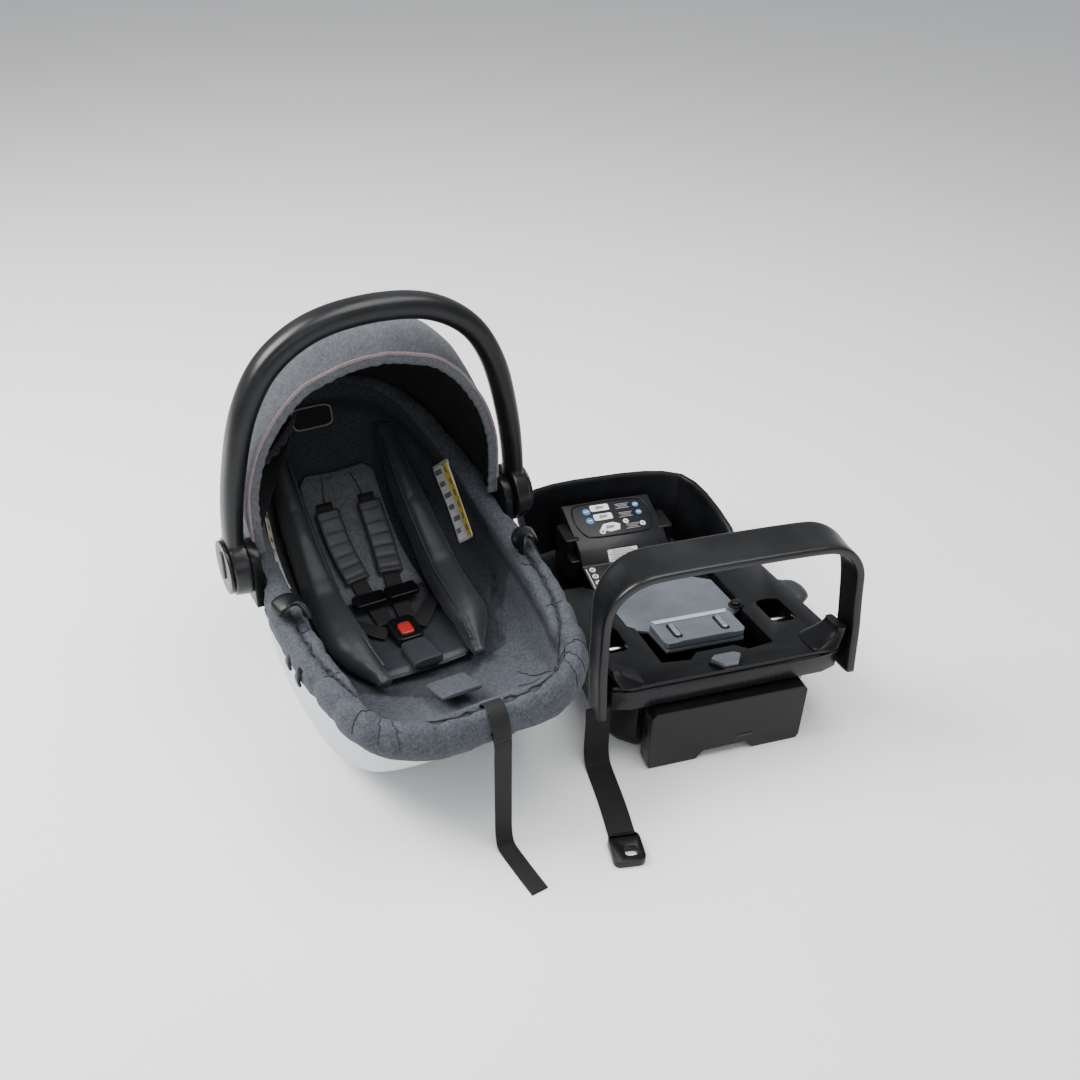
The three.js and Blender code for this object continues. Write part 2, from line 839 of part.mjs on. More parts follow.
let housing = solid(slab(pad(0, -72, 42, 52, 10), buckleZ, buckleZ + 17));
housing = housing.subtract(solid(slab(pad(0, -75, 21, 25, 5), buckleZ + 4, buckleZ + 30)));
add(carrier, "buckle_housing", surface(housing), BLACK, 0.4);
add(carrier, "buckle_button", slab(pad(0, -75, 20, 24, 4.5), buckleZ + 8.5, buckleZ + 18.5), 0xc8261c, 0.4);
const clipZ = seatAt(24, 0) + 32;
pair(
  carrier,
  "chest_clip",
  (s) => slab(pad(s * 25.5, -2, 50.4, 27, 6), clipZ, clipZ + 8),
  BLACK,
  0.4,
);

// The harness adjuster: a button in the front of the seat, a flap of cloth over it, and its strap.
const adjusterZ = seatAt(0, -232) + 9;
add(carrier, "adjuster_button", slab(pad(0, -232, 26, 18, 4), adjusterZ, adjusterZ + 5), DARK, 0.5);
add(
  carrier,
  "adjuster_flap",
  sheet(
    (u, w) => {
      const x = lerp(-27, 27, u);
      const y = lerp(-262, -208, w);
      return v(x, y, seatAt(0, y) + 21);
    },
    6,
    6,
    4,
  ),
  CHARCOAL,
  0.95,
);
const adjusterPath = onFloor(
  smooth(
    [
      v(0, -352.4, 198.6),
      v(0, -366, 198.5),
      v(1, -373, 190),
      v(2, -374, 150),
      v(3, -376, 60),
      v(3, -379, 20),
      v(3, -386, 5),
      v(4, -400, 1.4),
      v(6, -440, 1.4),
      v(8, -470, 1.4),
    ],
    28,
  ),
);
add(carrier, "adjuster_strap", sweep(adjusterPath, v(1, 0, 0), strapSection(WEB, WEB_THICK)), DARK, 0.85);

// The squeeze handle behind the head end frees the carrier from its base.
add(
  carrier,
  "release_lever",
  sweep(
    smooth([v(-52, 262, 250), v(-30, 272, 258), v(30, 272, 258), v(52, 262, 250)], 10),
    v(0, 0, 1),
    () => rounded(18, 9, 0.7, 8),
  ),
  DARK,
  0.5,
);

// The origin is the middle of the underside of everything except the free straps.
part.updateMatrixWorld(true);
const bounds = new THREE.Box3();
part.traverse((o) => {
  if (o.isMesh && !/^(anchor_strap|anchor_hook|adjuster_strap)$/.test(o.name)) bounds.expandByObject(o, true);
});
part.position.set(
  -(bounds.min.x + bounds.max.x) / 2,
  -(bounds.min.y + bounds.max.y) / 2,
  -bounds.min.z,
);

export default part;
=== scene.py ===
# %% [markdown]
# # An infant car seat and its base
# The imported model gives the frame: every body, joint and hard part at its real place. This script
# builds the looks around it. All lengths below are millimetres until they reach Blender, and two
# helpers turn a maker's point on the carrier or on the base into a point in the frame.

# %% The frame and the two sets of axes
import json
import math

import bmesh
import bpy
import numpy as np
from mathutils import Matrix, Vector, kdtree, noise

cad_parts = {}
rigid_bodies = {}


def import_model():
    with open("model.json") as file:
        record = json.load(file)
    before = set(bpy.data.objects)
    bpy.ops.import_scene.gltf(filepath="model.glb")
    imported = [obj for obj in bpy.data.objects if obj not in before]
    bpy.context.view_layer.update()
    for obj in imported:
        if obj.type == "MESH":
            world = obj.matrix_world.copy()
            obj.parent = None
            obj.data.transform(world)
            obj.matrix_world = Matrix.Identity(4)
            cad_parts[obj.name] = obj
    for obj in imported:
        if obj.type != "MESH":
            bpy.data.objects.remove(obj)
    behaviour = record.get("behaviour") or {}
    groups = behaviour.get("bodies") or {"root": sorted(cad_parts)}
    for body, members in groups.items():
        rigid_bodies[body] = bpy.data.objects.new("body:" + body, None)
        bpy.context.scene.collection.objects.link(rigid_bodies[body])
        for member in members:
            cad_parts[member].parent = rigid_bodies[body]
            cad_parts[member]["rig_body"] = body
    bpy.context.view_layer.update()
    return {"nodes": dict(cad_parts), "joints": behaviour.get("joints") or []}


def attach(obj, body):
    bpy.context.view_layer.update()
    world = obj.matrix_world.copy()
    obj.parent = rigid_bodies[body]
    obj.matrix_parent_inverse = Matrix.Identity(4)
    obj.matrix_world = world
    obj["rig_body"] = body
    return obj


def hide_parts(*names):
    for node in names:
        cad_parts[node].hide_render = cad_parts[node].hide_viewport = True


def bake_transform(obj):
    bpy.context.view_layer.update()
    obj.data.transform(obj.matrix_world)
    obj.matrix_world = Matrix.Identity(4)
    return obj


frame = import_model()
MM = 0.001
joint = {j["name"]: j for j in frame["joints"]}
HUB_Z = 287  # height of the handle's pivots
hub = Vector(joint["handle_turn"]["pos_m"])
side = Vector(joint["handle_turn"]["axis"])
TURN = math.atan2(side.y, side.x)
carrier_axes = Matrix.Translation((hub.x, hub.y, 0)) @ Matrix.Rotation(TURN, 4, "Z")
door_hinge = Vector(joint["lock_off_lift"]["pos_m"])
base_axes = Matrix.Translation((door_hinge.x, door_hinge.y + 166 * MM, 0))


def on_carrier(x, y, z):
    """A point on the carrier: x to its left and right, y towards the head, z up."""
    return carrier_axes @ Vector((x * MM, y * MM, z * MM))


def on_base(x, y, z):
    """A point on the base, measured from its middle on the ground."""
    return base_axes @ Vector((x * MM, y * MM, z * MM))


print("carrier stands at", tuple(round(c, 3) for c in on_carrier(0, 0, 0)))
print("base stands at", tuple(round(c, 3) for c in on_base(0, 0, 0)))

# %% [markdown]
# ## The camera
# The camera looks down at the pair from the foot end and a little from the carrier's side. It is set
# by the point it looks at, its direction and its distance, and it leans by a small roll, as a camera
# held in the hand does.

# %% Camera
AIM = on_base(-180.9, 76.3, 183.7)
AZIMUTH, ELEVATION, ROLL = math.radians(-19.0), math.radians(34.9), math.radians(2.3)
DISTANCE = 1.8328
camera = bpy.data.objects.new("camera", bpy.data.cameras.new("camera"))
bpy.context.scene.collection.objects.link(camera)
camera.data.lens = 38.97
camera.data.sensor_width = 36
back = Vector((
    math.sin(AZIMUTH) * math.cos(ELEVATION),
    -math.cos(AZIMUTH) * math.cos(ELEVATION),
    math.sin(ELEVATION),
))
right = Vector((math.cos(AZIMUTH), math.sin(AZIMUTH), 0))
up = back.cross(right)
right, up = (
    right * math.cos(ROLL) + up * math.sin(ROLL),
    up * math.cos(ROLL) - right * math.sin(ROLL),
)
turned = Matrix((right, up, back)).transposed().to_4x4()
camera.matrix_world = Matrix.Translation(AIM + back * DISTANCE) @ turned
bpy.context.scene.camera = camera
print("camera at", tuple(round(c, 3) for c in camera.matrix_world.translation))

# %% [markdown]
# ## Helpers for smooth lines and swept shapes
# Most pieces here are either a surface with two directions, such as a cushion or a canopy, or a
# section swept along a line, such as a handle or a strap. Both start from one flat grid from
# `bmesh.ops.create_grid`, whose vertices are then moved to their places. The grid brings its UV map
# with it, and welding its meeting edges closes the shape.


# %% Smooth lines
def spline(points, count, closed=False):
    """Points along a centripetal curve through the given ones, as an array."""
    p = [np.array(q, float) for q in points]
    if closed:
        p = [p[-1], *p, p[0], p[1]]
    else:
        p = [2 * p[0] - p[1], *p, 2 * p[-1] - p[-2]]
    spans = len(p) - 3
    out = []
    for i in range(count):
        s = i / count * spans if closed else i / (count - 1) * spans
        k = min(int(s), spans - 1)
        a, b, c, d = p[k : k + 4]
        ta = 0
        tb = ta + max(np.linalg.norm(b - a), 1e-6) ** 0.5
        tc = tb + max(np.linalg.norm(c - b), 1e-6) ** 0.5
        td = tc + max(np.linalg.norm(d - c), 1e-6) ** 0.5
        t = tb + (s - k) * (tc - tb)
        ab = (tb - t) / (tb - ta) * a + (t - ta) / (tb - ta) * b
        bc = (tc - t) / (tc - tb) * b + (t - tb) / (tc - tb) * c
        cd = (td - t) / (td - tc) * c + (t - tc) / (td - tc) * d
        abc = (tc - t) / (tc - ta) * ab + (t - ta) / (tc - ta) * bc
        bcd = (td - t) / (td - tb) * bc + (t - tb) / (td - tb) * cd
        out.append((tc - t) / (tc - tb) * abc + (t - tb) / (tc - tb) * bcd)
    return np.array(out)


def evenly(points, count):
    """The same line with its points an even distance apart."""
    steps = np.linalg.norm(np.diff(points, axis=0), axis=1)
    run = np.concatenate([[0], np.cumsum(steps)])
    where = np.linspace(0, run[-1], count)
    return np.stack([np.interp(where, run, points[:, c]) for c in range(points.shape[1])], 1)


def smoothstep(a, b, x):
    t = min(max((x - a) / (b - a), 0), 1)
    return t * t * (3 - 2 * t)


def lerp(a, b, t):
    return a + (b - a) * t


def bell(x, width):
    """A soft bump of height 1 at 0."""
    return math.exp(-((x / width) ** 2))


# %% Surfaces and sweeps
def finished(bm, name, material, body=None, smooth=True, tidy=True):
    """Makes the bmesh an object, gives it its material, and rides it on its body."""
    if tidy:
        bmesh.ops.remove_doubles(bm, verts=bm.verts, dist=1e-6)
        bmesh.ops.recalc_face_normals(bm, faces=bm.faces)
    mesh = bpy.data.meshes.new(name)
    bm.to_mesh(mesh)
    bm.free()
    if smooth:
        mesh.shade_smooth()
    piece = bpy.data.objects.new(name, mesh)
    bpy.context.scene.collection.objects.link(piece)
    if material:
        mesh.materials.append(material)
    if body:
        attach(piece, body)
    return piece


def surface(place, across, along):
    """A grid whose vertex at (u, w), each from 0 to 1, goes to place(u, w)."""
    bm = bmesh.new()
    bm.loops.layers.uv.new("UVMap")
    bmesh.ops.create_grid(bm, x_segments=across, y_segments=along, size=1, calc_uvs=True)
    for v in bm.verts:
        v.co = place((v.co.x + 1) / 2, (v.co.y + 1) / 2)
    return bm


def frames_along(path, side):
    """For each point of a path: the point, its sideways direction and its normal."""
    made = []
    for i, p in enumerate(path):
        t = Vector(path[min(i + 1, len(path) - 1)] - path[max(i - 1, 0)]).normalized()
        s = (Vector(side) - t * t.dot(Vector(side))).normalized()
        made.append((Vector(p), s, t.cross(s)))
    return made


def round_box(width, height, power, angle):
    """A point of a section that runs from an ellipse (power 1) towards a box (power near 0)."""
    c, s = math.cos(angle), math.sin(angle)
    return (
        width / 2 * math.copysign(abs(c) ** power, c),
        height / 2 * math.copysign(abs(s) ** power, s),
    )


def swept(path, side, section, around=24, where=on_carrier, ends=True):
    """Sweeps section(t, angle), in millimetres, along a path of points in millimetres."""
    rail = frames_along(path, side)
    last = len(rail) - 1

    def place(u, w):
        if ends and w * (last + 4) < 2:
            i, shrink = 0, round(w * (last + 4)) / 2
        elif ends and w * (last + 4) > last + 2:
            i, shrink = last, (last + 4 - round(w * (last + 4))) / 2
        else:
            i, shrink = round(w * (last + 4)) - 2 if ends else round(w * last), 1
        p, s, n = rail[i]
        a, b = section(i / last, 2 * math.pi * u)
        q = p + s * a * shrink + n * b * shrink
        return where(*q)

    return surface(place, around, last + 4 if ends else last)


# %% [markdown]
# ## Shader parts that several finishes share
# Woven cloth, moulded plastic and webbing each need fine structure at its real size: threads under
# a millimetre, a grain of a few tenths, ribs across a strap. Each effect is one node group with
# named sockets, and each finish places it with its own numbers. Patterns use Object coordinates,
# which are the frame's metres, so one number means the same size on every piece.


# %% A small builder for node trees
class Nodes:
    def __init__(self, tree):
        self.tree = tree

    def add(self, kind, values=None, **settings):
        node = self.tree.nodes.new("ShaderNode" + kind)
        for key, value in settings.items():
            setattr(node, key, value)
        for key, value in (values or {}).items():
            self.put(node.inputs[key], value)
        return node

    def put(self, socket, value):
        if isinstance(value, bpy.types.NodeSocket):
            self.tree.links.new(value, socket)
        else:
            socket.default_value = value

    def math(self, operation, a, b=0.0, c=0.0):
        node = self.add("Math", {0: a, 1: b, 2: c}, operation=operation)
        return node.outputs[0]

    def mix(self, factor, a, b, blend="MIX"):
        node = self.tree.nodes.new("ShaderNodeMix")
        node.data_type = "RGBA"
        node.blend_type = blend
        self.put(node.inputs["Factor"], factor)
        self.put(node.inputs["A"], a)
        self.put(node.inputs["B"], b)
        return node.outputs["Result"]

    def ramp(self, value, low, high, to_low=0.0, to_high=1.0):
        node = self.add("MapRange", interpolation_type="SMOOTHSTEP")
        for key, v in zip(("Value", "From Min", "From Max", "To Min", "To Max"),
                          (value, low, high, to_low, to_high)):
            self.put(node.inputs[key], v)
        return node.outputs["Result"]


def group(name, inputs, outputs):
    """An empty node group with float, color or vector sockets, and its input and output nodes."""
    tree = bpy.data.node_groups.new(name, "ShaderNodeTree")
    kinds = {"f": "NodeSocketFloat", "c": "NodeSocketColor", "v": "NodeSocketVector"}
    for label, kind in inputs.items():
        tree.interface.new_socket(label, in_out="INPUT", socket_type=kinds[kind])
    for label, kind in outputs.items():
        tree.interface.new_socket(label, in_out="OUTPUT", socket_type=kinds[kind])
    n = Nodes(tree)
    return tree, n, n.add, tree.nodes.new("NodeGroupInput").outputs, tree.nodes.new("NodeGroupOutput").inputs


# %% Woven cloth
def make_weave():
    """Crossing threads at a given size, with a fleck of lighter and darker yarns."""
    tree, n, add, given, out = group(
        "woven_cloth", {"Thread": "f", "Fleck": "f"}, {"Shade": "f", "Height": "f"})
    place = add("TexCoord").outputs["Object"]
    scale = n.math("DIVIDE", 1.0, given["Thread"])
    turned = add("Mapping", {"Vector": place, "Rotation": (0.6, 0.35, 0.8)}).outputs[0]
    axes = add("SeparateXYZ", {0: turned}).outputs
    rows = []
    for axis in (0, 1, 2):
        wobble = add("TexNoise", {"Vector": place, "Scale": 160.0, "Detail": 1.0}).outputs["Fac"]
        shifted = n.math("MULTIPLY_ADD", axes[axis], scale, n.math("MULTIPLY", wobble, 1.4))
        rows.append(n.math("SINE", n.math("MULTIPLY", shifted, math.pi)))
    crossed = n.math("MULTIPLY", rows[0], rows[1])
    crossed = n.math("MULTIPLY_ADD", rows[2], 0.5, crossed)
    long_way = add("Mapping", {"Vector": turned, "Scale": (1.0, 0.16, 0.5)}).outputs[0]
    yarn = add("TexNoise", {"Vector": long_way, "Scale": n.math("MULTIPLY", scale, 0.42),
                            "Detail": 3.0, "Roughness": 0.7}).outputs["Fac"]
    other_way = add("Mapping", {"Vector": turned, "Scale": (0.16, 1.0, 0.5)}).outputs[0]
    weft = add("TexNoise", {"Vector": other_way, "Scale": n.math("MULTIPLY", scale, 0.42),
                            "Detail": 3.0, "Roughness": 0.7}).outputs["Fac"]
    fleck = n.math("MULTIPLY", n.math("SUBTRACT", n.math("ADD", yarn, weft), 1.0), given["Fleck"])
    n.put(out["Shade"], n.math("ADD", 0.5, n.math("MULTIPLY_ADD", crossed, 0.06, fleck)))
    n.put(out["Height"], n.math("MULTIPLY_ADD", crossed, 0.35, n.math("ADD", yarn, weft)))
    return tree


# %% Grain of moulded plastic, and wear along its edges
def make_grain():
    tree, n, add, given, out = group(
        "moulded_grain", {"Size": "f", "Wear": "f"}, {"Height": "f", "Patches": "f", "Edge": "f"})
    place = add("TexCoord").outputs["Object"]
    fine = add("TexVoronoi", {"Vector": place, "Scale": n.math("DIVIDE", 1.0, given["Size"]),
                              "Randomness": 1.0}).outputs["Distance"]
    soft = add("TexNoise", {"Vector": place, "Scale": 900.0, "Detail": 2.0}).outputs["Fac"]
    n.put(out["Height"], n.math("ADD", n.math("MULTIPLY", fine, 0.6), n.math("MULTIPLY", soft, 0.4)))
    broad = add("TexNoise", {"Vector": place, "Scale": 14.0, "Detail": 4.0}).outputs["Fac"]
    n.put(out["Patches"], broad)
    pointy = add("NewGeometry").outputs["Pointiness"]
    rough = add("TexNoise", {"Vector": place, "Scale": 70.0, "Detail": 3.0}).outputs["Fac"]
    edge = n.ramp(n.math("MULTIPLY_ADD", rough, 0.03, pointy), 0.53, 0.60)
    n.put(out["Edge"], n.math("MULTIPLY", edge, given["Wear"]))
    return tree


# %% Ribs of webbing
def make_ribs():
    """Cross ribs and two edge cords, along a strap whose UV map runs its length."""
    tree, n, add, given, out = group(
        "webbing_ribs", {"Length": "f", "Width": "f"}, {"Height": "f", "Shade": "f"})
    uv = add("SeparateXYZ", {0: add("UVMap").outputs[0]}).outputs
    along = n.math("MULTIPLY", uv[1], given["Length"])
    across = n.math("MULTIPLY", uv[0], given["Width"])
    ribs = n.math("SINE", n.math("MULTIPLY", along, 2 * math.pi / 1.6))
    warp = n.math("SINE", n.math("MULTIPLY", across, 2 * math.pi / 1.1))
    n.put(out["Height"], n.math("MULTIPLY_ADD", ribs, 0.6, n.math("MULTIPLY", warp, 0.4)))
    n.put(out["Shade"], n.math("MULTIPLY_ADD", n.math("MULTIPLY", ribs, warp), 0.25, 0.5))
    return tree


WEAVE, GRAIN, RIBS = make_weave(), make_grain(), make_ribs()
print("shader groups", WEAVE.name, GRAIN.name, RIBS.name)


# %% Finishes
def finish(name):
    """A new material with an empty Principled shader, its builder, and that shader."""
    material = bpy.data.materials.new(name)
    material.use_nodes = True
    n = Nodes(material.node_tree)
    return material, n, material.node_tree.nodes["Principled BSDF"]


def place_group(n, tree, values):
    node = n.tree.nodes.new("ShaderNodeGroup")
    node.node_tree = tree
    for key, value in values.items():
        n.put(node.inputs[key], value)
    return node.outputs


def bumped(n, shader, height, strength, distance):
    bump = n.add("Bump", {"Height": height, "Strength": strength, "Distance": distance})
    n.put(shader.inputs["Normal"], bump.outputs["Normal"])


def cloth(name, dark, light, thread=0.0009, fleck=1.0, sheen=0.35, rough=0.9, bump=0.35):
    material, n, shader = finish(name)
    weave = place_group(n, WEAVE, {"Thread": thread, "Fleck": fleck})
    place = n.add("TexCoord").outputs["Object"]
    broad = n.add("TexNoise", {"Vector": place, "Scale": 9.0, "Detail": 3.0}).outputs["Fac"]
    shade = n.math("ADD", weave["Shade"], n.math("MULTIPLY", n.math("SUBTRACT", broad, 0.5), 0.25))
    n.put(shader.inputs["Base Color"], n.mix(n.ramp(shade, 0.1, 0.9), (*dark, 1), (*light, 1)))
    n.put(shader.inputs["Roughness"], n.ramp(broad, 0.2, 0.8, rough - 0.06, rough + 0.04))
    shader.inputs["Sheen Weight"].default_value = sheen
    shader.inputs["Sheen Roughness"].default_value = 0.5
    shader.inputs["Specular IOR Level"].default_value = 0.25
    bumped(n, shader, weave["Height"], bump, 0.0006)
    return material


def plastic(name, colour, worn, rough=0.42, size=0.0007, wear=0.6, bump=0.12, coat=0.0, shine=0.35):
    material, n, shader = finish(name)
    grain = place_group(n, GRAIN, {"Size": size, "Wear": wear})
    tone = n.mix(n.ramp(grain["Patches"], 0.3, 0.75, 0.0, 0.35), (*colour, 1), (*worn, 1))
    n.put(shader.inputs["Base Color"], n.mix(grain["Edge"], tone, (*worn, 1)))
    n.put(shader.inputs["Roughness"],
          n.math("SUBTRACT", n.ramp(grain["Patches"], 0.25, 0.8, rough - 0.05, rough + 0.07),
                 n.math("MULTIPLY", grain["Edge"], 0.08)))
    shader.inputs["Coat Weight"].default_value = coat
    shader.inputs["Specular IOR Level"].default_value = shine
    shader.inputs["Coat Roughness"].default_value = 0.3
    bumped(n, shader, grain["Height"], bump, 0.0003)
    return material


def webbing(name, length, width, colour=(0.003, 0.003, 0.0035), light=(0.013, 0.013, 0.0145)):
    material, n, shader = finish(name)
    ribs = place_group(n, RIBS, {"Length": length, "Width": width})
    n.put(shader.inputs["Base Color"], n.mix(ribs["Shade"], (*colour, 1), (*light, 1)))
    shader.inputs["Roughness"].default_value = 0.7
    shader.inputs["Specular IOR Level"].default_value = 0.25
    shader.inputs["Sheen Weight"].default_value = 0.03
    bumped(n, shader, ribs["Height"], 0.6, 0.0004)
    return material


HEATHER = cloth("heather_cloth", (0.020, 0.023, 0.028), (0.070, 0.077, 0.090), fleck=0.8, sheen=0.06)
CANOPY = cloth("canopy_cloth", (0.050, 0.054, 0.060), (0.128, 0.136, 0.150), fleck=0.75, sheen=0.08)
LINING = cloth("dark_lining", (0.006, 0.006, 0.007), (0.018, 0.018, 0.02), 0.0006, 0.5, 0.02)
GREY_KNIT = cloth("grey_knit", (0.045, 0.047, 0.052), (0.115, 0.12, 0.128), 0.0012, 0.8, 0.05)
BOLSTER = cloth("bolster_cloth", (0.012, 0.013, 0.016), (0.034, 0.037, 0.043), 0.0005, 0.4, 0.08, 0.4, 0.10)
PIPING = cloth("mauve_piping", (0.16, 0.115, 0.12), (0.30, 0.23, 0.235), 0.0006, 0.6, 0.4)
THREAD = cloth("dark_thread", (0.008, 0.009, 0.012), (0.02, 0.022, 0.027), 0.0004, 0.3, 0.2)
BLACK = plastic("black_plastic", (0.0026, 0.0027, 0.0032), (0.012, 0.0125, 0.0145), 0.32, shine=0.22)
SATIN = plastic("satin_black", (0.0032, 0.0034, 0.0040), (0.014, 0.015, 0.018), 0.33, 0.0005, 0.4, 0.08)
GREY = plastic("slate_plastic", (0.085, 0.098, 0.112), (0.20, 0.22, 0.245), 0.38)
CHARCOAL = plastic("charcoal_plastic", (0.016, 0.017, 0.020), (0.050, 0.053, 0.060), 0.45)
SHELL = plastic("pale_shell", (0.50, 0.53, 0.55), (0.66, 0.68, 0.70), 0.33)
FOAM = plastic("pale_foam", (0.62, 0.62, 0.60), (0.75, 0.75, 0.73), 0.8, 0.004, 0.1, 0.6)
RED = plastic("red_button", (0.34, 0.010, 0.009), (0.5, 0.05, 0.04), 0.35)


def steel():
    material, n, shader = finish("bright_steel")
    place = n.add("TexCoord").outputs["Object"]
    stretched = n.add("Mapping", {"Vector": place, "Scale": (12.0, 900.0, 900.0)}).outputs[0]
    lines = n.add("TexNoise", {"Vector": stretched, "Scale": 1.0, "Detail": 3.0}).outputs["Fac"]
    n.put(shader.inputs["Base Color"], n.mix(lines, (0.55, 0.56, 0.58, 1), (0.8, 0.8, 0.82, 1)))
    n.put(shader.inputs["Roughness"], n.ramp(lines, 0.2, 0.8, 0.16, 0.3))
    shader.inputs["Metallic"].default_value = 1.0
    return material


STEEL = steel()
print("finishes", len(bpy.data.materials))

# %% [markdown]
# ## The two free straps
# Both are flat polyester webbing, limp, and both fall to the ground under their own weight. One is
# the tail of the harness adjuster, which comes out of a slot in the front of the seat. The other
# belongs to the base's lower anchor and ends in its steel-cored hook.

# %% Webbing swept along a route
PLY = 2.0  # thickness of the webbing


def route(points, count):
    """A smooth route, kept off the ground by half the webbing's thickness."""
    line = spline(points, count)
    line[:, 2] = np.maximum(line[:, 2], PLY / 2 + 0.2)
    return line


def line_length(line):
    return float(np.linalg.norm(np.diff(line, axis=0), axis=1).sum()) * MM


def strap(name, line, side, width, body, where, thick=PLY):
    """Flat webbing along a route, with its own ribbed finish."""
    bm = swept(line, side, lambda t, a: round_box(width, thick, 0.3, a), 16, where)
    ribs = webbing(name + "_webbing", line_length(line), width * 3 * MM)
    piece = finished(bm, name, ribs, body)
    return piece


adjuster_line = route([
    (0, -352.4, 198.6), (0, -366, 198.5), (1, -373, 190), (2, -374, 150), (3, -376, 60),
    (3, -379, 20), (3, -386, 5), (4, -400, 1.4), (6, -440, 1.4), (8, -470, 1.4),
], 60)
adjuster_tail = strap("adjuster_tail", adjuster_line, (1, 0, 0), 25, "carrier", on_carrier)
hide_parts("adjuster_strap")
print("adjuster strap", round(line_length(adjuster_line), 3), "m")

anchor_line = route([
    (-187, -224, 100), (-187, -226, 70), (-188, -230, 24), (-188, -238, 6), (-189, -256, 1.4),
    (-194, -318, 1.4), (-200.9, -372, 1.4),
], 50)
anchor_tail = strap("anchor_tail", anchor_line, (1, 0, 0), 38, "base", on_base)
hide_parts("anchor_strap")

# %% [markdown]
# ## Moulded parts from the frame
# The frame's hard parts already have their true shape, but a moulding never has a knife edge. A copy
# of each is merged, its flat facets are joined, and a narrow bevel with shaded corners rounds it the
# way a mould does. The frame's own node stays as it is and hides behind the copy.


# %% Rounded copies
def rounded_copy(node, name, material, slot, width=1.2, angle=32, segments=3):
    """A merged copy of a frame node with rounded edges, standing for the node."""
    source = frame["nodes"][node]
    bm = bmesh.new()
    bm.from_mesh(source.data)
    for layer in list(bm.loops.layers.uv.values()):
        bm.loops.layers.uv.remove(layer)
    bmesh.ops.remove_doubles(bm, verts=bm.verts, dist=2e-5)
    bmesh.ops.dissolve_limit(
        bm, angle_limit=math.radians(1.2), verts=bm.verts, edges=bm.edges, delimit=set())
    piece = finished(bm, name, material, source["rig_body"], tidy=False)
    rounding = piece.modifiers.new("rounding", "BEVEL")
    rounding.width = width * MM
    rounding.segments = segments
    rounding.limit_method = "ANGLE"
    rounding.angle_limit = math.radians(angle)
    rounding.harden_normals = True
    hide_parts(node)
    return piece


mouldings = [
    ("base_tray", BLACK, "black_plastic", 1.6),
    ("base_spine", BLACK, "black_plastic", 2.2),
    ("base_deck", BLACK, "black_plastic", 2.0),
    ("belt_plate", GREY, "grey_plastic", 1.2),
    ("recline_foot", BLACK, "black_plastic", 1.6),
    ("recline_button", GREY, "grey_plastic", 1.2),
    ("lock_off_door", GREY, "grey_plastic", 1.0),
    ("tension_tab", BLACK, "black_plastic", 1.5),
    ("door_hook_left", STEEL, "steel", 0.6),
    ("door_hook_right", STEEL, "steel", 0.6),
    ("latch_rod_left", STEEL, "steel", 0.8),
    ("latch_rod_right", STEEL, "steel", 0.8),
    ("anchor_hook", BLACK, "black_plastic", 1.2),
    ("buckle_housing", BLACK, "black_plastic", 2.2),
    ("buckle_button", RED, "red_plastic", 2.0),
    ("chest_clip_left", BLACK, "black_plastic", 1.6),
    ("chest_clip_right", BLACK, "black_plastic", 1.6),
    ("adjuster_button", BLACK, "black_plastic", 1.2),
    ("hub_mount_left", BLACK, "black_plastic", 1.5),
    ("hub_mount_right", BLACK, "black_plastic", 1.5),
    ("hub_cover_left", SATIN, "handle_plastic", 1.4),
    ("hub_cover_right", SATIN, "handle_plastic", 1.4),
    ("handle_button_left", CHARCOAL, "grey_plastic", 1.4),
    ("handle_button_right", CHARCOAL, "grey_plastic", 1.4),
]
for node, material, slot, width in mouldings:
    rounded_copy(node, node + "_moulded", material, slot, width)
print("anchor strap", round(line_length(anchor_line), 3), "m")
frame["nodes"]["foam_liner"].data.materials.clear()
frame["nodes"]["foam_liner"].data.materials.append(FOAM)

# %% [markdown]
# ## The rebound bar and its sockets
# The bar is one broad, flat moulding bent into a hoop, which keeps the base from tipping back in a
# crash. It is swept along the same hoop as the frame's bar with a finer section, whose outer face is
# crowned so that light runs along its middle. Each leg stands in a flared collar on the deck.

# %% Rebound bar
DECK_FRONT, DECK_FRONT_Z, DECK_SLOPE = -250, 152, 0.162


def deck_z(y):
    """Height of the sloping deck at a distance from the base's middle."""
    return DECK_FRONT_Z - DECK_SLOPE * (y - DECK_FRONT)


def on_deck(x, y, z):
    """A point given by its place on the deck and its height above it."""
    return on_base(x, y, deck_z(y) + z)


BAR_TOP, BAR_LEAN, BAR_CORNER, BAR_LEG = 324, 0.138, 70, 194
leg = [(BAR_LEG - max(0, z - 180) * 0.05, z) for z in (104, 140, 180, 220, BAR_TOP - BAR_CORNER)]
arc = [
    (BAR_LEG - 3.7 - BAR_CORNER + BAR_CORNER * math.cos(a), BAR_TOP - BAR_CORNER + BAR_CORNER * math.sin(a))
    for a in (math.radians(15 * k) for k in range(1, 7))
]
half_bar = [(x, -230 + (z - 158) * BAR_LEAN, z) for x, z in leg + arc]
whole_bar = half_bar + [(-x, y, z) for x, y, z in reversed(half_bar)]
bar_line = evenly(spline(whole_bar, 240), 150)


def bar_section(t, angle):
    """A flat band with round edges, crowned on its outer face."""
    wide = 46 + 24 * smoothstep(0.16, 0.34, min(t, 1 - t))
    a, b = round_box(wide, 15, 0.42, angle)
    return a, b + (2.6 * math.cos(a / wide * math.pi) if b < 0 else 0)


rebound_bar = finished(
    swept(bar_line, (0, 1, 0), bar_section, 40, on_base), "rebound_hoop", SATIN, "rebound_bar")
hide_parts("rebound_bar")
print("rebound bar", round(line_length(bar_line), 2), "m of band")


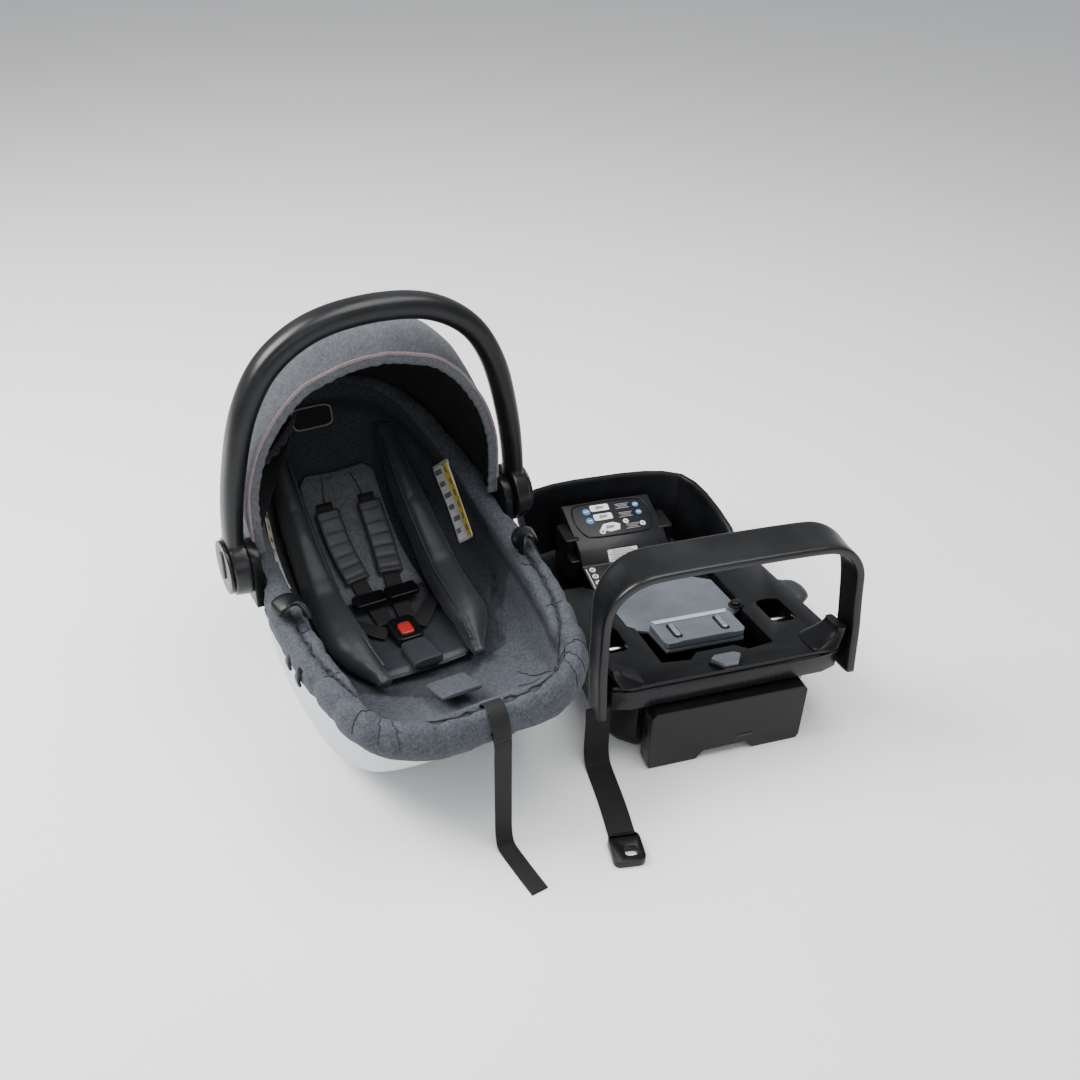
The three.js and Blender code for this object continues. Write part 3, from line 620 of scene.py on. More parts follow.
# %% Sockets beside the legs
def rounded_outline(cx, cy, width, height, radius, steps=5):
    """The corners of a rectangle with round corners, turning to the left."""
    points = []
    for sx, sy, start in ((1, 1, 0), (-1, 1, 90), (-1, -1, 180), (1, -1, 270)):
        for k in range(steps + 1):
            a = math.radians(start + 90 * k / steps)
            x = cx + sx * (width / 2 - radius) + radius * math.cos(a)
            points.append((x, cy + sy * (height / 2 - radius) + radius * math.sin(a)))
    return points


def slab(name, outline, low, high, where, material, body, edge=0.0, smooth=False):
    """A flat piece with the given outline, from one height to another, with its rim rounded."""
    bm = bmesh.new()
    face = bm.faces.new([bm.verts.new((x, y, low)) for x, y in outline])
    made = bmesh.ops.extrude_face_region(bm, geom=[face])
    top = [v for v in made["geom"] if isinstance(v, bmesh.types.BMVert)]
    bmesh.ops.translate(bm, verts=top, vec=(0, 0, high - low))
    if edge:
        rim = [e for e in bm.edges if all(v in top for v in e.verts)]
        bmesh.ops.bevel(bm, geom=rim, offset=edge, offset_type="OFFSET", segments=3,
                        profile=0.5, affect="EDGES", material=-1)
    for v in bm.verts:
        v.co = where(*v.co)
    piece = finished(bm, name, material, body, smooth=smooth)
    if smooth:
        piece.data.set_sharp_from_angle(angle=math.radians(40))
    return piece


def socket(s):
    """A collar that flares from the deck up to the inner side of the leg."""
    def place(u, w):
        a = 2 * math.pi * u
        rise = smoothstep(0, 1, w)
        x, y = round_box(lerp(56, 20, rise), lerp(62, 42, rise), 0.5, a)
        cx = lerp(158, 176.5, rise)
        return on_base(s * (cx + x * (1 if x < 0 else 0.45)), lerp(-224, -224, rise) + y,
                       deck_z(-226 + y) + 0.6 + 30 * w ** 1.5)
    bm = surface(place, 40, 14)
    bmesh.ops.remove_doubles(bm, verts=bm.verts, dist=1e-6)
    rims = [e for e in bm.edges if e.is_boundary]
    bmesh.ops.holes_fill(bm, edges=rims, sides=0)
    side = "right" if s > 0 else "left"
    piece = finished(bm, "bar_collar_" + side, BLACK, "base")
    piece.data.set_sharp_from_angle(angle=math.radians(50))
    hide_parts("bar_socket_" + side)


for s in (-1, 1):
    socket(s)
print("two collars")

# %% [markdown]
# ## The carrying handle
# The handle is one blow-moulded hoop: a round tube that is a little fuller across the top, growing
# into a flat hub at each end. Tube and hubs are laid into each other, merged by a voxel remesh, and
# smoothed, which leaves the soft fillet that a mould has where the two meet.

# %% Handle
half_handle = [
    (210.6, 0, -4), (210.6, 0, 50), (199.5, 0, 137), (174.5, 0, 228), (139, 0, 284), (82, 0, 320),
    (0, 0, 332),
]
whole_handle = half_handle + [(-x, y, z) for x, y, z in reversed(half_handle[:-1])]
handle_line = evenly(spline([(x, y, z + HUB_Z) for x, y, z in whole_handle], 300), 150)
HUB_RADIUS, HUB_INNER, HUB_WIDE = 42, 199.6, 24


def handle_section(t, angle):
    full = math.sin(math.pi * t) ** 0.8
    return round_box(40.5, lerp(23, 34.5, full), 0.78, angle)


def voxel_joined(bm, name, material, body, voxel, rounds):
    """Turns crossing closed shapes into one skin and smooths it."""
    piece = finished(bm, name, material)
    remesh = piece.modifiers.new("one_skin", "REMESH")
    remesh.mode = "VOXEL"
    remesh.voxel_size = voxel * MM
    relax = piece.modifiers.new("fillet", "SMOOTH")
    relax.factor, relax.iterations = 0.5, rounds
    bpy.context.view_layer.update()
    mesh = bpy.data.meshes.new_from_object(
        piece.evaluated_get(bpy.context.evaluated_depsgraph_get()))
    piece.modifiers.clear()
    piece.data = mesh
    mesh.shade_smooth()
    mesh.materials.clear()
    mesh.materials.append(material)
    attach(piece, body)
    return piece


bm = swept(handle_line, (0, 1, 0), handle_section, 32, on_carrier)
for s in (-1, 1):
    turned = Matrix.Rotation(math.pi / 2, 4, "Y")
    place = carrier_axes @ Matrix.Translation(Vector((s * (HUB_INNER + 11.8), 0, HUB_Z)) * MM)
    disc = bmesh.ops.create_cone(
        bm, cap_ends=True, segments=48, radius1=(HUB_RADIUS + s * 1.5) * MM,
        radius2=(HUB_RADIUS - s * 1.5) * MM, depth=(HUB_WIDE - 0.6) * MM, matrix=place @ turned)
handle = voxel_joined(bm, "carry_handle", SATIN, "handle", 2.2, 8)
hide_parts("handle")
print("handle", len(handle.data.vertices), "points")

# %% [markdown]
# ## The rim and the seat's surface
# Everything on the carrier follows one closed curve, the rim of its shell. Rings of the padded seat
# are that curve shrunk towards a point over the child's lap, and the roll of padding around the edge
# is a section carried along it. Both are worked out once, as a grid of points, and the pieces of the
# cover, the shell and the canopy read it.

# %% Rim
RIM_STEPS = 400
CENTRE_Y = -50
SEAT_LOW, SEAT_LOW_Y = 116, -70
rim_half = [
    (0, 273, 372), (100, 248, 358), (140, 203, 334), (161, 140, 306), (176, 60, 277), (181, 0, 257),
    (180, -110, 237), (172, -215, 223), (146, -308, 211), (90, -346, 204), (0, -350, 203),
]
whole_rim = rim_half + [(-x, y, z) for x, y, z in reversed(rim_half[1:-1])]
rim = spline(whole_rim, RIM_STEPS, closed=True)
ahead = np.roll(rim, -1, 0) - np.roll(rim, 1, 0)
outward = np.stack([-ahead[:, 1], ahead[:, 0], 0 * ahead[:, 0]], 1)
outward /= np.linalg.norm(outward, axis=1)[:, None]
rim_run = np.concatenate([[0], np.cumsum(np.linalg.norm(np.diff(rim, axis=0), axis=1))])
print("rim", round(float(rim_run[-1]) * MM, 3), "m round")


def seat_floor(y):
    y = np.asarray(y, float)
    return SEAT_LOW + np.where(y < SEAT_LOW_Y, 0.0011, 0.002) * (y - SEAT_LOW_Y) ** 2


def seat_ring(k, up=0.0):
    """A ring of the padded seat, k times the size of the rim."""
    y = CENTRE_Y + (rim[:, 1] - CENTRE_Y) * k
    z = seat_floor(y) + (rim[:, 2] - seat_floor(rim[:, 1])) * k**3 + up
    return np.stack([rim[:, 0] * k, y, z], 1)


def rim_ring(out, up):
    return rim + outward * out + np.array([0, 0, up])


def seat_at(x, y):
    """Height of the padded seat's surface at a point."""
    angle = np.arctan2(rim[:, 1] - CENTRE_Y, rim[:, 0])
    turn = np.angle(np.exp(1j * (angle - math.atan2(y - CENTRE_Y, x))))
    p = rim[int(np.argmin(np.abs(turn)))]
    k = math.hypot(x, y - CENTRE_Y) / math.hypot(p[0], p[1] - CENTRE_Y)
    return float(seat_floor(y) + (p[2] - seat_floor(p[1])) * k**3)


def pushed(points, amount):
    """A grid of points moved along its own normals; rows wrap around in the first direction."""
    du = np.roll(points, -1, 0) - np.roll(points, 1, 0)
    dw = np.gradient(points, axis=1)
    n = np.cross(dw, du)
    n /= np.maximum(np.linalg.norm(n, axis=2), 1e-9)[..., None]
    return points + n * amount[..., None]


def from_grid(points, closed=True):
    """A surface through a grid of points on the carrier, in millimetres."""
    count, rows = points.shape[0], points.shape[1]
    across = count if closed else count - 1

    def place(u, w):
        return on_carrier(*points[round(u * across) % count, round(w * (rows - 1))])

    return surface(place, across, rows - 1)


# %% [markdown]
# ## The padded seat cover
# The cover is one quilted piece: a stuffed roll that hooks over the shell's edge, walls that fall into
# the seat, and a pad under the child's legs. Its look comes from how it is sewn. A seam parts the
# roll from the walls, a curved seam closes each armrest panel, and at both corners of the foot end
# the cloth is gathered into a star. Cloth simulation would blur those seams at this size, so the
# surface is modelled directly: a fine grid whose points are pushed out where the stuffing swells and
# pulled in along every seam and crease.

# %% Distances to seams and creases
def polyline_distance(points, line):
    """Distance from each point of a grid to a polyline, and how far along it the nearest place is."""
    best = np.full(points.shape[:2], 1e9)
    where = np.zeros(points.shape[:2])
    line = np.array(line, float)
    steps = np.linalg.norm(np.diff(line, axis=0), axis=1)
    run = np.concatenate([[0], np.cumsum(steps)]) / max(steps.sum(), 1e-6)
    for k in range(len(line) - 1):
        a, d = line[k], line[k + 1] - line[k]
        t = np.clip(((points - a) @ d) / max(d @ d, 1e-9), 0, 1)
        gap = np.linalg.norm(points - (a + t[..., None] * d), axis=2)
        where = np.where(gap < best, run[k] + t * (run[k + 1] - run[k]), where)
        best = np.minimum(best, gap)
    return best, where


def groove(points, line, width, depth, fade=0.0):
    """How far a crease along a line pulls the surface in, easing out towards its far end."""
    gap, where = polyline_distance(points, line)
    strength = 1 - fade * where
    return -depth * strength * np.exp(-((gap / width) ** 2))


def ripples(points, size, seed):
    """Soft uneven swelling of the stuffing."""
    out = np.empty(points.shape[:2])
    for i in range(points.shape[0]):
        for k in range(points.shape[1]):
            out[i, k] = noise.noise(Vector(points[i, k]) / size + Vector((seed, 0, 0)))
    return out


# %% The cover's surface before it is sewn
COVER_ROWS = 110
rolled = [(5, -28), (13, -20), (16.5, -4), (14, 12), (5, 23.5), (-8, 26), (-21, 20), (-30, 6)]
rings = [rim_ring(out, up) for out, up in rolled] + [seat_ring(k) for k in (0.8, 0.66, 0.45, 0.2, 0.03)]
cover = np.array([spline([ring[i] for ring in rings], COVER_ROWS) for i in range(RIM_STEPS)])
free = 181.2 + 15 * np.clip((np.abs(cover[..., 1]) - 38) / 16, 0, 1)
high_enough = cover[..., 2] > 225
cover[..., 0] = np.where(
    high_enough, np.sign(cover[..., 0]) * np.minimum(np.abs(cover[..., 0]), free), cover[..., 0])
row = np.linspace(0, 1, COVER_ROWS)[None, :].repeat(RIM_STEPS, 0)
ROLL_SEAM = 7.2 / 12  # the row where roll and wall are sewn together
print("cover grid", cover.shape[:2])


def surface_point(x, y, low=0.0, high=1.0):
    """The point of the cover seen from above at (x, y), looking only at rows in a range."""
    gap = np.hypot(cover[..., 0] - x, cover[..., 1] - y) + np.where((row < low) | (row > high), 1e6, 0)
    return cover[np.unravel_index(np.argmin(gap), gap.shape)]


def on_surface(points, low=0.0, high=1.0):
    """A seam drawn from above through (x, y) points and laid on the cover."""
    smooth_line = spline([(x, y, 0) for x, y in points], 14)
    return [surface_point(x, y, low, high) for x, y, _ in smooth_line]

# %% Seams, gathers and swelling
STAR = (117, -286)  # the gather at each foot corner
foot_share = np.clip((-cover[..., 1] - 262) / 40, 0, 1)
push = 1.7 * ripples(cover, 26, 3.1) + 0.8 * ripples(cover, 9, 8.4)
# The seam mask darkens the cover along its seams: partly dark thread, partly painted shade in the creases.
thread_and_crease_shade_mask = np.zeros(push.shape)


def sew(line, width, depth, fade=0.0, thread=1.0):
    """Pulls the surface in along a line, and darkens a band along it: dark thread at its bottom, widened into
    painted shade in the crease.
    """
    global push, thread_and_crease_shade_mask
    push = push + groove(cover, line, 1.9 * width, 1.7 * depth, fade)
    gap, _ = polyline_distance(cover, line)
    # This band is wider than a thread, so it paints the crease's shade as well as the dark thread.
    thread_and_crease_shade_mask = np.maximum(thread_and_crease_shade_mask, thread * np.exp(-((gap / 4.0) ** 2)))


along_seam = np.abs(row - ROLL_SEAM) * 130
push -= 5.0 * np.exp(-((along_seam / 5) ** 2)) * (1 - foot_share)
# The roll seam's dark line: dark thread with painted shade in its crease.
thread_and_crease_shade_mask = np.maximum(thread_and_crease_shade_mask, np.exp(-((along_seam / 1.3) ** 2)) * (1 - foot_share))
foot_seam = [(-117, -286), (-106, -312), (-66, -334), (0, -339), (66, -334), (106, -312), (117, -286)]
sew(on_surface(foot_seam, 0.3), 5, 5.5)
for s in (-1, 1):
    armrest = [(172, -92), (172, -140), (165, -200), (146, -252), STAR]
    sew(on_surface([(s * x, y) for x, y in armrest], 0.25), 5, 4.6)
    inner = [(146, -60), (132, -104), (112, -150)]
    sew(on_surface([(s * x, y) for x, y in inner], 0.5), 4, 3.2)
    for x, y, depth in ((150, -332, 4.5), (128, -350, 4.2), (172, -298, 4), (182, -262, 3.4), (98, -356, 3.4),
                        (84, -262, 3.6), (98, -232, 3.2), (126, -236, 3), (150, -276, 2.6), (74, -300, 2.6)):
        halfway = (s * (STAR[0] + x) / 2, (STAR[1] + y) / 2)
        gather = on_surface([(s * STAR[0], STAR[1]), halfway, (s * x, y)], 0.12)
        sew(gather, 4.2, depth, 0.75, 0.0)
    for y, inner_x, depth in ((-136, 158, 2.2), (-178, 152, 1.8), (-222, 150, 2.4)):
        sew(on_surface([(s * 172, y), (s * inner_x, y + 8)], 0.2), 4, depth, 0.6, 0.0)
    for y, depth in ((-60, 2.4), (-215, 2.6), (-258, 2.6), (80, 2.0), (140, 2.0)):
        x = float(np.interp(y, [-308, -215, -110, 60, 140], [146, 172, 180, 176, 161]))
        sew([(s * (x + 14), y, float(rim[:, 2][np.argmin(np.hypot(rim[:, 0] - x, rim[:, 1] - y))]) + h)
             for h in (-18, -6, 8, 16)], 4.5, depth, 0.4, 0.0)
for x, y, depth in ((-78, -366, 3.4), (-34, -368, 2.4), (30, -368, 2.8), (66, -366, 3.2)):
    sew(on_surface([(x * 0.94, -338), (x, y)], 0.1), 4, depth, 0.5, 0.0)
lap_folds = [
    ((-52, -214), (-70, -322), 2.8), ((-18, -262), (-34, -330), 2.2), ((24, -264), (40, -332), 2.6),
    ((56, -226), (84, -300), 2.4), ((-84, -214), (-104, -270), 2.2), ((40, -236), (98, -262), 1.8),
]
for a, b, depth in lap_folds:
    sew(on_surface([a, ((a[0] + b[0]) / 2 + 3, (a[1] + b[1]) / 2), b], 0.6), 5, depth, 0.3, 0.0)
slot_line = [(-15, -336), (15, -337)]
sew(on_surface(slot_line, 0.3, 0.6), 3.0, 5.0, 0.0, 1.0)
DEEPEST = -10.5
sewn = pushed(cover, np.maximum(push, DEEPEST))
held_in = np.sign(sewn[..., 0]) * np.minimum(np.abs(sewn[..., 0]), free + 0.6)
sewn[..., 0] = np.where(high_enough, held_in, sewn[..., 0])
print("deepest seam", round(float(-push.min()), 1), "mm")


# %% The cover itself
def with_mask(piece, name, values):
    """Stores a value for each vertex under a name that a material can read."""
    piece.data.attributes.new(name, "FLOAT", "POINT").data.foreach_set("value", values)


def cover_material():
    """Heather cloth, darkened along its seams by dark thread and painted crease shade, and dark where the
    lining mask says so, which is partly a dark cloth panel and partly painted shade.
    """
    material, n, shader = finish("cover_cloth")
    weave = place_group(n, WEAVE, {"Thread": 0.0008, "Fleck": 0.9})
    place = n.add("TexCoord").outputs["Object"]
    broad = n.add("TexNoise", {"Vector": place, "Scale": 9.0, "Detail": 3.0}).outputs["Fac"]
    seam = n.add("Attribute", attribute_name="seam").outputs["Fac"]
    # The lining attribute marks a dark cloth panel together with painted shade under the canopy and beside
    # the bolsters.
    dark = n.add("Attribute", attribute_name="lining").outputs["Fac"]
    shade = n.math("ADD", weave["Shade"], n.math("MULTIPLY", n.math("SUBTRACT", broad, 0.5), 0.3))
    shade = n.ramp(shade, 0.05, 0.95)
    heather = n.mix(shade, (0.020, 0.023, 0.028, 1), (0.084, 0.092, 0.108, 1))
    # Dark cloth for the lining mask, standing both for a dark panel and for painted shade.
    lining = n.mix(shade, (0.009, 0.0105, 0.013, 1), (0.042, 0.047, 0.056, 1))
    colour = n.mix(dark, heather, lining)
    # The seam mask darkens the colour: dark thread plus painted shade in the creases.
    n.put(shader.inputs["Base Color"], n.mix(n.math("MULTIPLY", seam, 0.85), colour, (0.006, 0.007, 0.01, 1)))
    n.put(shader.inputs["Roughness"], n.ramp(broad, 0.2, 0.8, 0.82, 0.92))
    shader.inputs["Sheen Weight"].default_value = 0.05
    shader.inputs["Specular IOR Level"].default_value = 0.25
    bumped(n, shader, weave["Height"], 0.4, 0.0007)
    return material


def cover_piece(points, name, masks):
    """Makes the grid a closed piece of cloth, with its masks stored on its vertices."""
    hooked_at = [(3, -27), (1.5, -22), (1.5, 2.5), (-5.5, 2.5), (-12, -14)]
    hooked = [rim_ring(out, up) for out, up in hooked_at]
    lined = [seat_ring(k, -7) for k in (0.84, 0.8, 0.66, 0.45, 0.2, 0.04)]
    below = np.array([[ring[i] for ring in hooked + lined] for i in range(RIM_STEPS)])[:, ::-1]
    notched = np.abs(below[..., 1]) < 40
    below[..., 0] = np.where(notched, np.clip(below[..., 0], -180.6, 180.6), below[..., 0])
    bm = from_grid(np.concatenate([below, points], axis=1))
    bmesh.ops.remove_doubles(bm, verts=bm.verts, dist=1e-6)
    middle = [e for e in bm.edges if e.is_boundary]
    bmesh.ops.holes_fill(bm, edges=middle, sides=0)
    piece = finished(bm, name, cover_material(), "carrier")
    tree_points = points.reshape(-1, 3)
    tree = kdtree.KDTree(len(tree_points))
    for k, p in enumerate(tree_points):
        tree.insert(on_carrier(*p), k)
    tree.balance()
    nearest = [tree.find(v.co)[1] for v in piece.data.vertices]
    for label, values in masks.items():
        with_mask(piece, label, np.asarray(values, float).reshape(-1)[nearest])
    return piece


# The dark part of the cover: a dark cloth panel on the inner walls and lap, and painted shade where its edge
# climbs over the roll's inner half towards the head, under the canopy.
y_here, x_here = cover[..., 1], np.abs(cover[..., 0])
edge_row = np.interp(y_here, [-60, 60, 270], [ROLL_SEAM + 0.005, 0.53, 0.5])
in_wall = (row > edge_row) & (y_here > -104 - (146 - x_here) * 0.9)
in_lap = (row > 0.74) & (y_here > -168)
dark_panel_and_shade_mask = np.where(in_wall | in_lap, 1.0, 0.0)
seat_cover = cover_piece(sewn, "padded_cover", {"seam": thread_and_crease_shade_mask, "lining": dark_panel_and_shade_mask})
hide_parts("seat_cover")
print("cover", len(seat_cover.data.polygons), "faces")

# %% [markdown]
# ## The shell under the cover
# The shell is one moulding in pale plastic. It is the same closed curve again, shrunk and lowered in
# steps down to the curved runner that the carrier rocks on. A narrow groove and a shallow flat run along
# its side, and two small clips, made further on, hold the cover's elastic on its left.

# %% Shell
ROCKER, PROW_Y = 900, -110


def rocker(y):
    """Height of the shell's underside: a long curve that rises faster towards the foot end."""
    return y**2 / (2 * ROCKER) + 0.0017 * np.minimum(0, y - PROW_Y) ** 2


def shell_ring(k, h, out, up):
    p = rim[:, :2] * [k, k] + [0, CENTRE_Y * (1 - k)] + outward[:, :2] * out
    z = rocker(p[:, 1]) + (rim[:, 2] - rocker(rim[:, 1])) * h + up
    return np.column_stack([p, z])


outer_steps = [
    (0.03, 0), (0.3, 0), (0.6, 0), (0.72, 0.04), (0.84, 0.14), (0.92, 0.34), (0.965, 0.62), (1, 0.985),
]
inner_steps = [(1, 1), (0.965, 0.62), (0.92, 0.35), (0.84, 0.16), (0.72, 0.062), (0.5, 0.03)]
shell_rows = [shell_ring(k, h, 0, 0) for k, h in outer_steps]
shell_rows += [shell_ring(k, h, -4, 0.6) for k, h in inner_steps]
shell_points = np.array([spline([r[i] for r in shell_rows], 72) for i in range(0, RIM_STEPS, 2)])
shell_points[..., 2] = np.maximum(shell_points[..., 2], rocker(shell_points[..., 1]))
rib = np.zeros(shell_points.shape[:2])
share = np.linspace(0, 1, 72)[None, :]
side_face = np.exp(-(((share - 0.46) / 0.035) ** 2))
rib -= 1.6 * np.exp(-(((share - 0.415) / 0.006) ** 2)) + 1.2 * side_face
shell_points = pushed(shell_points, np.where(share < 0.52, rib, 0))
bm = from_grid(shell_points)
bmesh.ops.remove_doubles(bm, verts=bm.verts, dist=1e-6)
bmesh.ops.holes_fill(bm, edges=[e for e in bm.edges if e.is_boundary], sides=0)
shell = finished(bm, "carrier_shell_moulded", SHELL, "carrier")
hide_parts("carrier_shell")
print("shell", len(shell.data.polygons), "faces")

# %% [markdown]
# ## The canopy
# The canopy is one sheet of cloth stretched over wire bows that turn about the handle's hubs. It is
# built the same way, as a profile turned about the hubs' axis, so that the cloth stays in one piece from
# the front hem to the shell behind the head. Between the bows it sags a little, and over each bow it
# shows a ridge. The hem turns under in a gathered band, and a piping runs along it. The front bow of
# the real canopy folds; here the sheet stays where it is built and follows no body.

# %% Canopy sheet
front_half = [(181.5, 8), (182.5, 50), (179, 107), (155, 172), (104, 232), (60, 251), (0, 260)]
rear_half = [(181.5, 12), (188, 62), (185, 112), (169, 173), (136, 238), (88, 281), (0, 299)]
ACROSS, BACK_ROWS = 160, 90
REAR = 62  # degrees behind upright where the turned part ends


def canopy_profile(half):
    whole = half + [(-x, r) for x, r in reversed(half[:-1])]
    return evenly(spline([(x, r, 0) for x, r in whole], 400)[:, :2], ACROSS + 1)


front_profile, rear_profile = canopy_profile(front_half), canopy_profile(rear_half)


def turned_row(angle, grow):
    """One row of the canopy: the profile at an angle behind upright."""
    p = front_profile * (1 - grow) + rear_profile * grow
    a = math.radians(angle)
    return np.stack([p[:, 0], p[:, 1] * math.sin(a), p[:, 1] * math.cos(a) + HUB_Z], 1)


behind = np.array([i for i in range(RIM_STEPS) if rim[i, 1] > 42])
right_side = [i for i in behind if rim[i, 0] > 0][::-1]
left_side = [i for i in behind if rim[i, 0] <= 0][::-1]
behind_loop = [rim[i] + outward[i] * 17.6 + np.array([0, 0, 2]) for i in right_side + left_side]
hem_row = evenly(np.array(behind_loop), ACROSS + 1)
hem_row[:, 0] = np.clip(hem_row[:, 0], -194, 194)
canopy_rows = []
for k in range(BACK_ROWS + 1):
    w = k / BACK_ROWS
    angle = lerp(1.2, REAR, min(w / 0.8, 1))
    grow = smoothstep(0, 15, angle)
    ridge = 3.5 * bell(angle - 17, 3.0) + 2.2 * bell(angle - 44, 2.5)
    spans = (smoothstep(18, 43, angle), smoothstep(45, REAR, angle))
    sag = 5 * math.sin(math.pi * spans[0]) + 5 * math.sin(math.pi * spans[1])
    line = turned_row(angle, grow)
    radial = np.stack([0.35 * line[:, 0] / 190, np.sin(np.radians(angle)) * np.ones(ACROSS + 1),
                       np.cos(np.radians(angle)) * np.ones(ACROSS + 1)], 1)
    middle = np.sin(np.pi * np.linspace(0, 1, ACROSS + 1)) ** 0.6
    line = line + radial * ((ridge - sag) * middle)[:, None]
    if w > 0.8:
        t = (w - 0.8) / 0.2
        line = line * (1 - t) + hem_row * t + radial * (9 * math.sin(math.pi * t) * middle)[:, None]
    canopy_rows.append(line)
canopy_points = np.array(canopy_rows)
wrinkle = np.array([
    [noise.noise(Vector(p) / 55 + Vector((5.2, 0, 0))) for p in line] for line in canopy_points])
fine = np.array([
    [noise.noise(Vector((p[0] / 14, p[1] / 60, p[2] / 60))) for p in line] for line in canopy_points])
shift = 2.2 * wrinkle + 0.9 * fine
canopy_points[..., 2] += shift * np.sin(np.pi * np.linspace(0, 1, ACROSS + 1))[None, :]
CLOTH_PLY = 2.4


def canopy_sheet():
    def place(u, w):
        return on_carrier(*canopy_points[round(w * BACK_ROWS), round(u * ACROSS)])
    bm = surface(place, ACROSS, BACK_ROWS)
    bmesh.ops.recalc_face_normals(bm, faces=bm.faces)
    if sum(f.normal.z for f in bm.faces) < 0:
        bmesh.ops.reverse_faces(bm, faces=bm.faces)
    outer = list(bm.faces)
    made = bmesh.ops.solidify(bm, geom=outer, thickness=CLOTH_PLY * MM)
    piece = finished(bm, "canopy_cloth", CANOPY, smooth=True)
    piece.data.materials.append(LINING)
    return piece


canopy = canopy_sheet()
hub_level = Vector(on_carrier(0, 0, HUB_Z))
inside = 0
for f in canopy.data.polygons:
    spoke = f.center - hub_level
    spoke -= side * spoke.dot(side) * 0.35
    if f.normal.dot(spoke) < 0:
        f.material_index = 1
        inside += 1
print("canopy", len(canopy.data.polygons), "faces, lining", inside)


def folds(piece):
    """Bakes the piece's placement into its mesh; the cloth is not tied to the carrier or the bow."""
    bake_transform(piece)


folds(canopy)
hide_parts("canopy_front", "canopy_rear", "canopy_bow")
hem_line = canopy_points[0]


def hem_tube(name, material, radius, drop, back, count=300, gather=0.0):
    """A tube along the front hem, moved in and back; a gathered one is puckered along its length."""
    line = evenly(hem_line, count)
    centre = np.array([0, 0, HUB_Z])
    spokes = line - centre
    spokes[:, 0] *= 0.8
    spokes /= np.linalg.norm(spokes, axis=1)[:, None]
    line = line - spokes * drop + np.array([0, back, 0])

    def section(t, a):
        pucker = 1 + gather * math.sin(t * count * 0.62) * (0.6 + 0.4 * math.sin(t * 57))
        return radius[0] * math.cos(a) * pucker, radius[1] * math.sin(a) * pucker

    return finished(swept(line, (0, 1, 0), section, 14, on_carrier), name, material)


band = hem_tube("canopy_gathered_band", CANOPY, (3.4, 7.6), 4.5, -0.6, 420, 0.1)
piping = hem_tube("canopy_piping", PIPING, (2.3, 2.3), -2.6, -1.4)
for piece in (band, piping):
    folds(piece)


# %% Seams on the canopy
def oval(wide, high):
    """A section with the same half width and half height all along a sweep."""
    return lambda t, angle: (wide * math.cos(angle), high * math.sin(angle))


def canopy_seam(name, rows_and_columns, radius=1.1):
    """A dark sewn line that follows the cloth, given by shares of its depth and width."""
    line = [canopy_points[round(w * BACK_ROWS), round(u * ACROSS)] for w, u in rows_and_columns]
    line = evenly(spline(line, 60), 90)
    centre = np.array([0, 0, HUB_Z])
    spokes = (line - centre) * np.array([0.5, 1, 1])
    line = line + 0.4 * spokes / np.linalg.norm(spokes, axis=1)[:, None]
    piece = finished(
        swept(line, (0.3, 1, 0.2), oval(radius, radius * 0.6), 6, on_carrier),
        name, THREAD)
    folds(piece)


for s, label in ((0, "right"), (1, "left")):
    def turn(u):
        return 1 - u if s else u
    canopy_seam("canopy_side_seam_" + label, [
        (0.98, turn(0.30)), (0.80, turn(0.235)), (0.62, turn(0.19)), (0.46, turn(0.165)),
        (0.3, turn(0.15)), (0.12, turn(0.14)),
    ])
print("two side seams")

# %% [markdown]
# ## The infant insert
# A removable pad lies on the cover: a long cushion under the back and seat, and a stuffed bolster along
# each side. The bolsters are closed tubes of slippery cloth filled with fibre, so each starts as
# a slim swept shape, is remeshed evenly, and is blown up by Blender's cloth with pressure inside
# and no gravity. A cap keeps it inside the space it may fill, and its seam is laid on afterwards.

# %% Blowing up a padded piece
CLOTH_FRAMES = 20
STIFFNESS = 12


def inflated(piece, voxel, pressure, cap):
    """Remeshes a closed piece and swells it with cloth pressure; no point moves further than cap."""
    remesh = piece.modifiers.new("even_mesh", "REMESH")
    remesh.mode = "VOXEL"
    remesh.voxel_size = voxel * MM
    bpy.context.view_layer.update()
    depsgraph = bpy.context.evaluated_depsgraph_get()
    mesh = bpy.data.meshes.new_from_object(piece.evaluated_get(depsgraph))
    materials = list(piece.data.materials)
    piece.modifiers.clear()
    piece.data = mesh
    mesh.materials.clear()
    for material in materials:
        mesh.materials.append(material)
    before = np.array([v.co[:] for v in mesh.vertices])
    swell = piece.modifiers.new("swell", "CLOTH")
    swell.settings.use_pressure = True
    swell.settings.uniform_pressure_force = pressure
    swell.settings.effector_weights.gravity = 0
    swell.settings.tension_stiffness = STIFFNESS
    swell.point_cache.frame_start, swell.point_cache.frame_end = 1, CLOTH_FRAMES
    scene = bpy.context.scene
    for k in range(1, CLOTH_FRAMES + 1):
        scene.frame_set(k)
    depsgraph = bpy.context.evaluated_depsgraph_get()
    blown = bpy.data.meshes.new_from_object(piece.evaluated_get(depsgraph))
    after = np.array([v.co[:] for v in blown.vertices])
    piece.modifiers.clear()
    scene.frame_set(1)
    move = after - before
    reach = np.linalg.norm(move, axis=1)
    move *= (np.minimum(reach, cap * MM) / np.maximum(reach, 1e-9))[:, None]
    mesh.vertices.foreach_set("co", (before + move).ravel())
    print(piece.name, "swelled by up to", round(float(np.minimum(reach, cap * MM).max() / MM), 1), "mm")
    mesh.update()
    mesh.shade_smooth()
    finer = piece.modifiers.new("finer", "SUBSURF")
    finer.levels = finer.render_levels = 1
    return piece


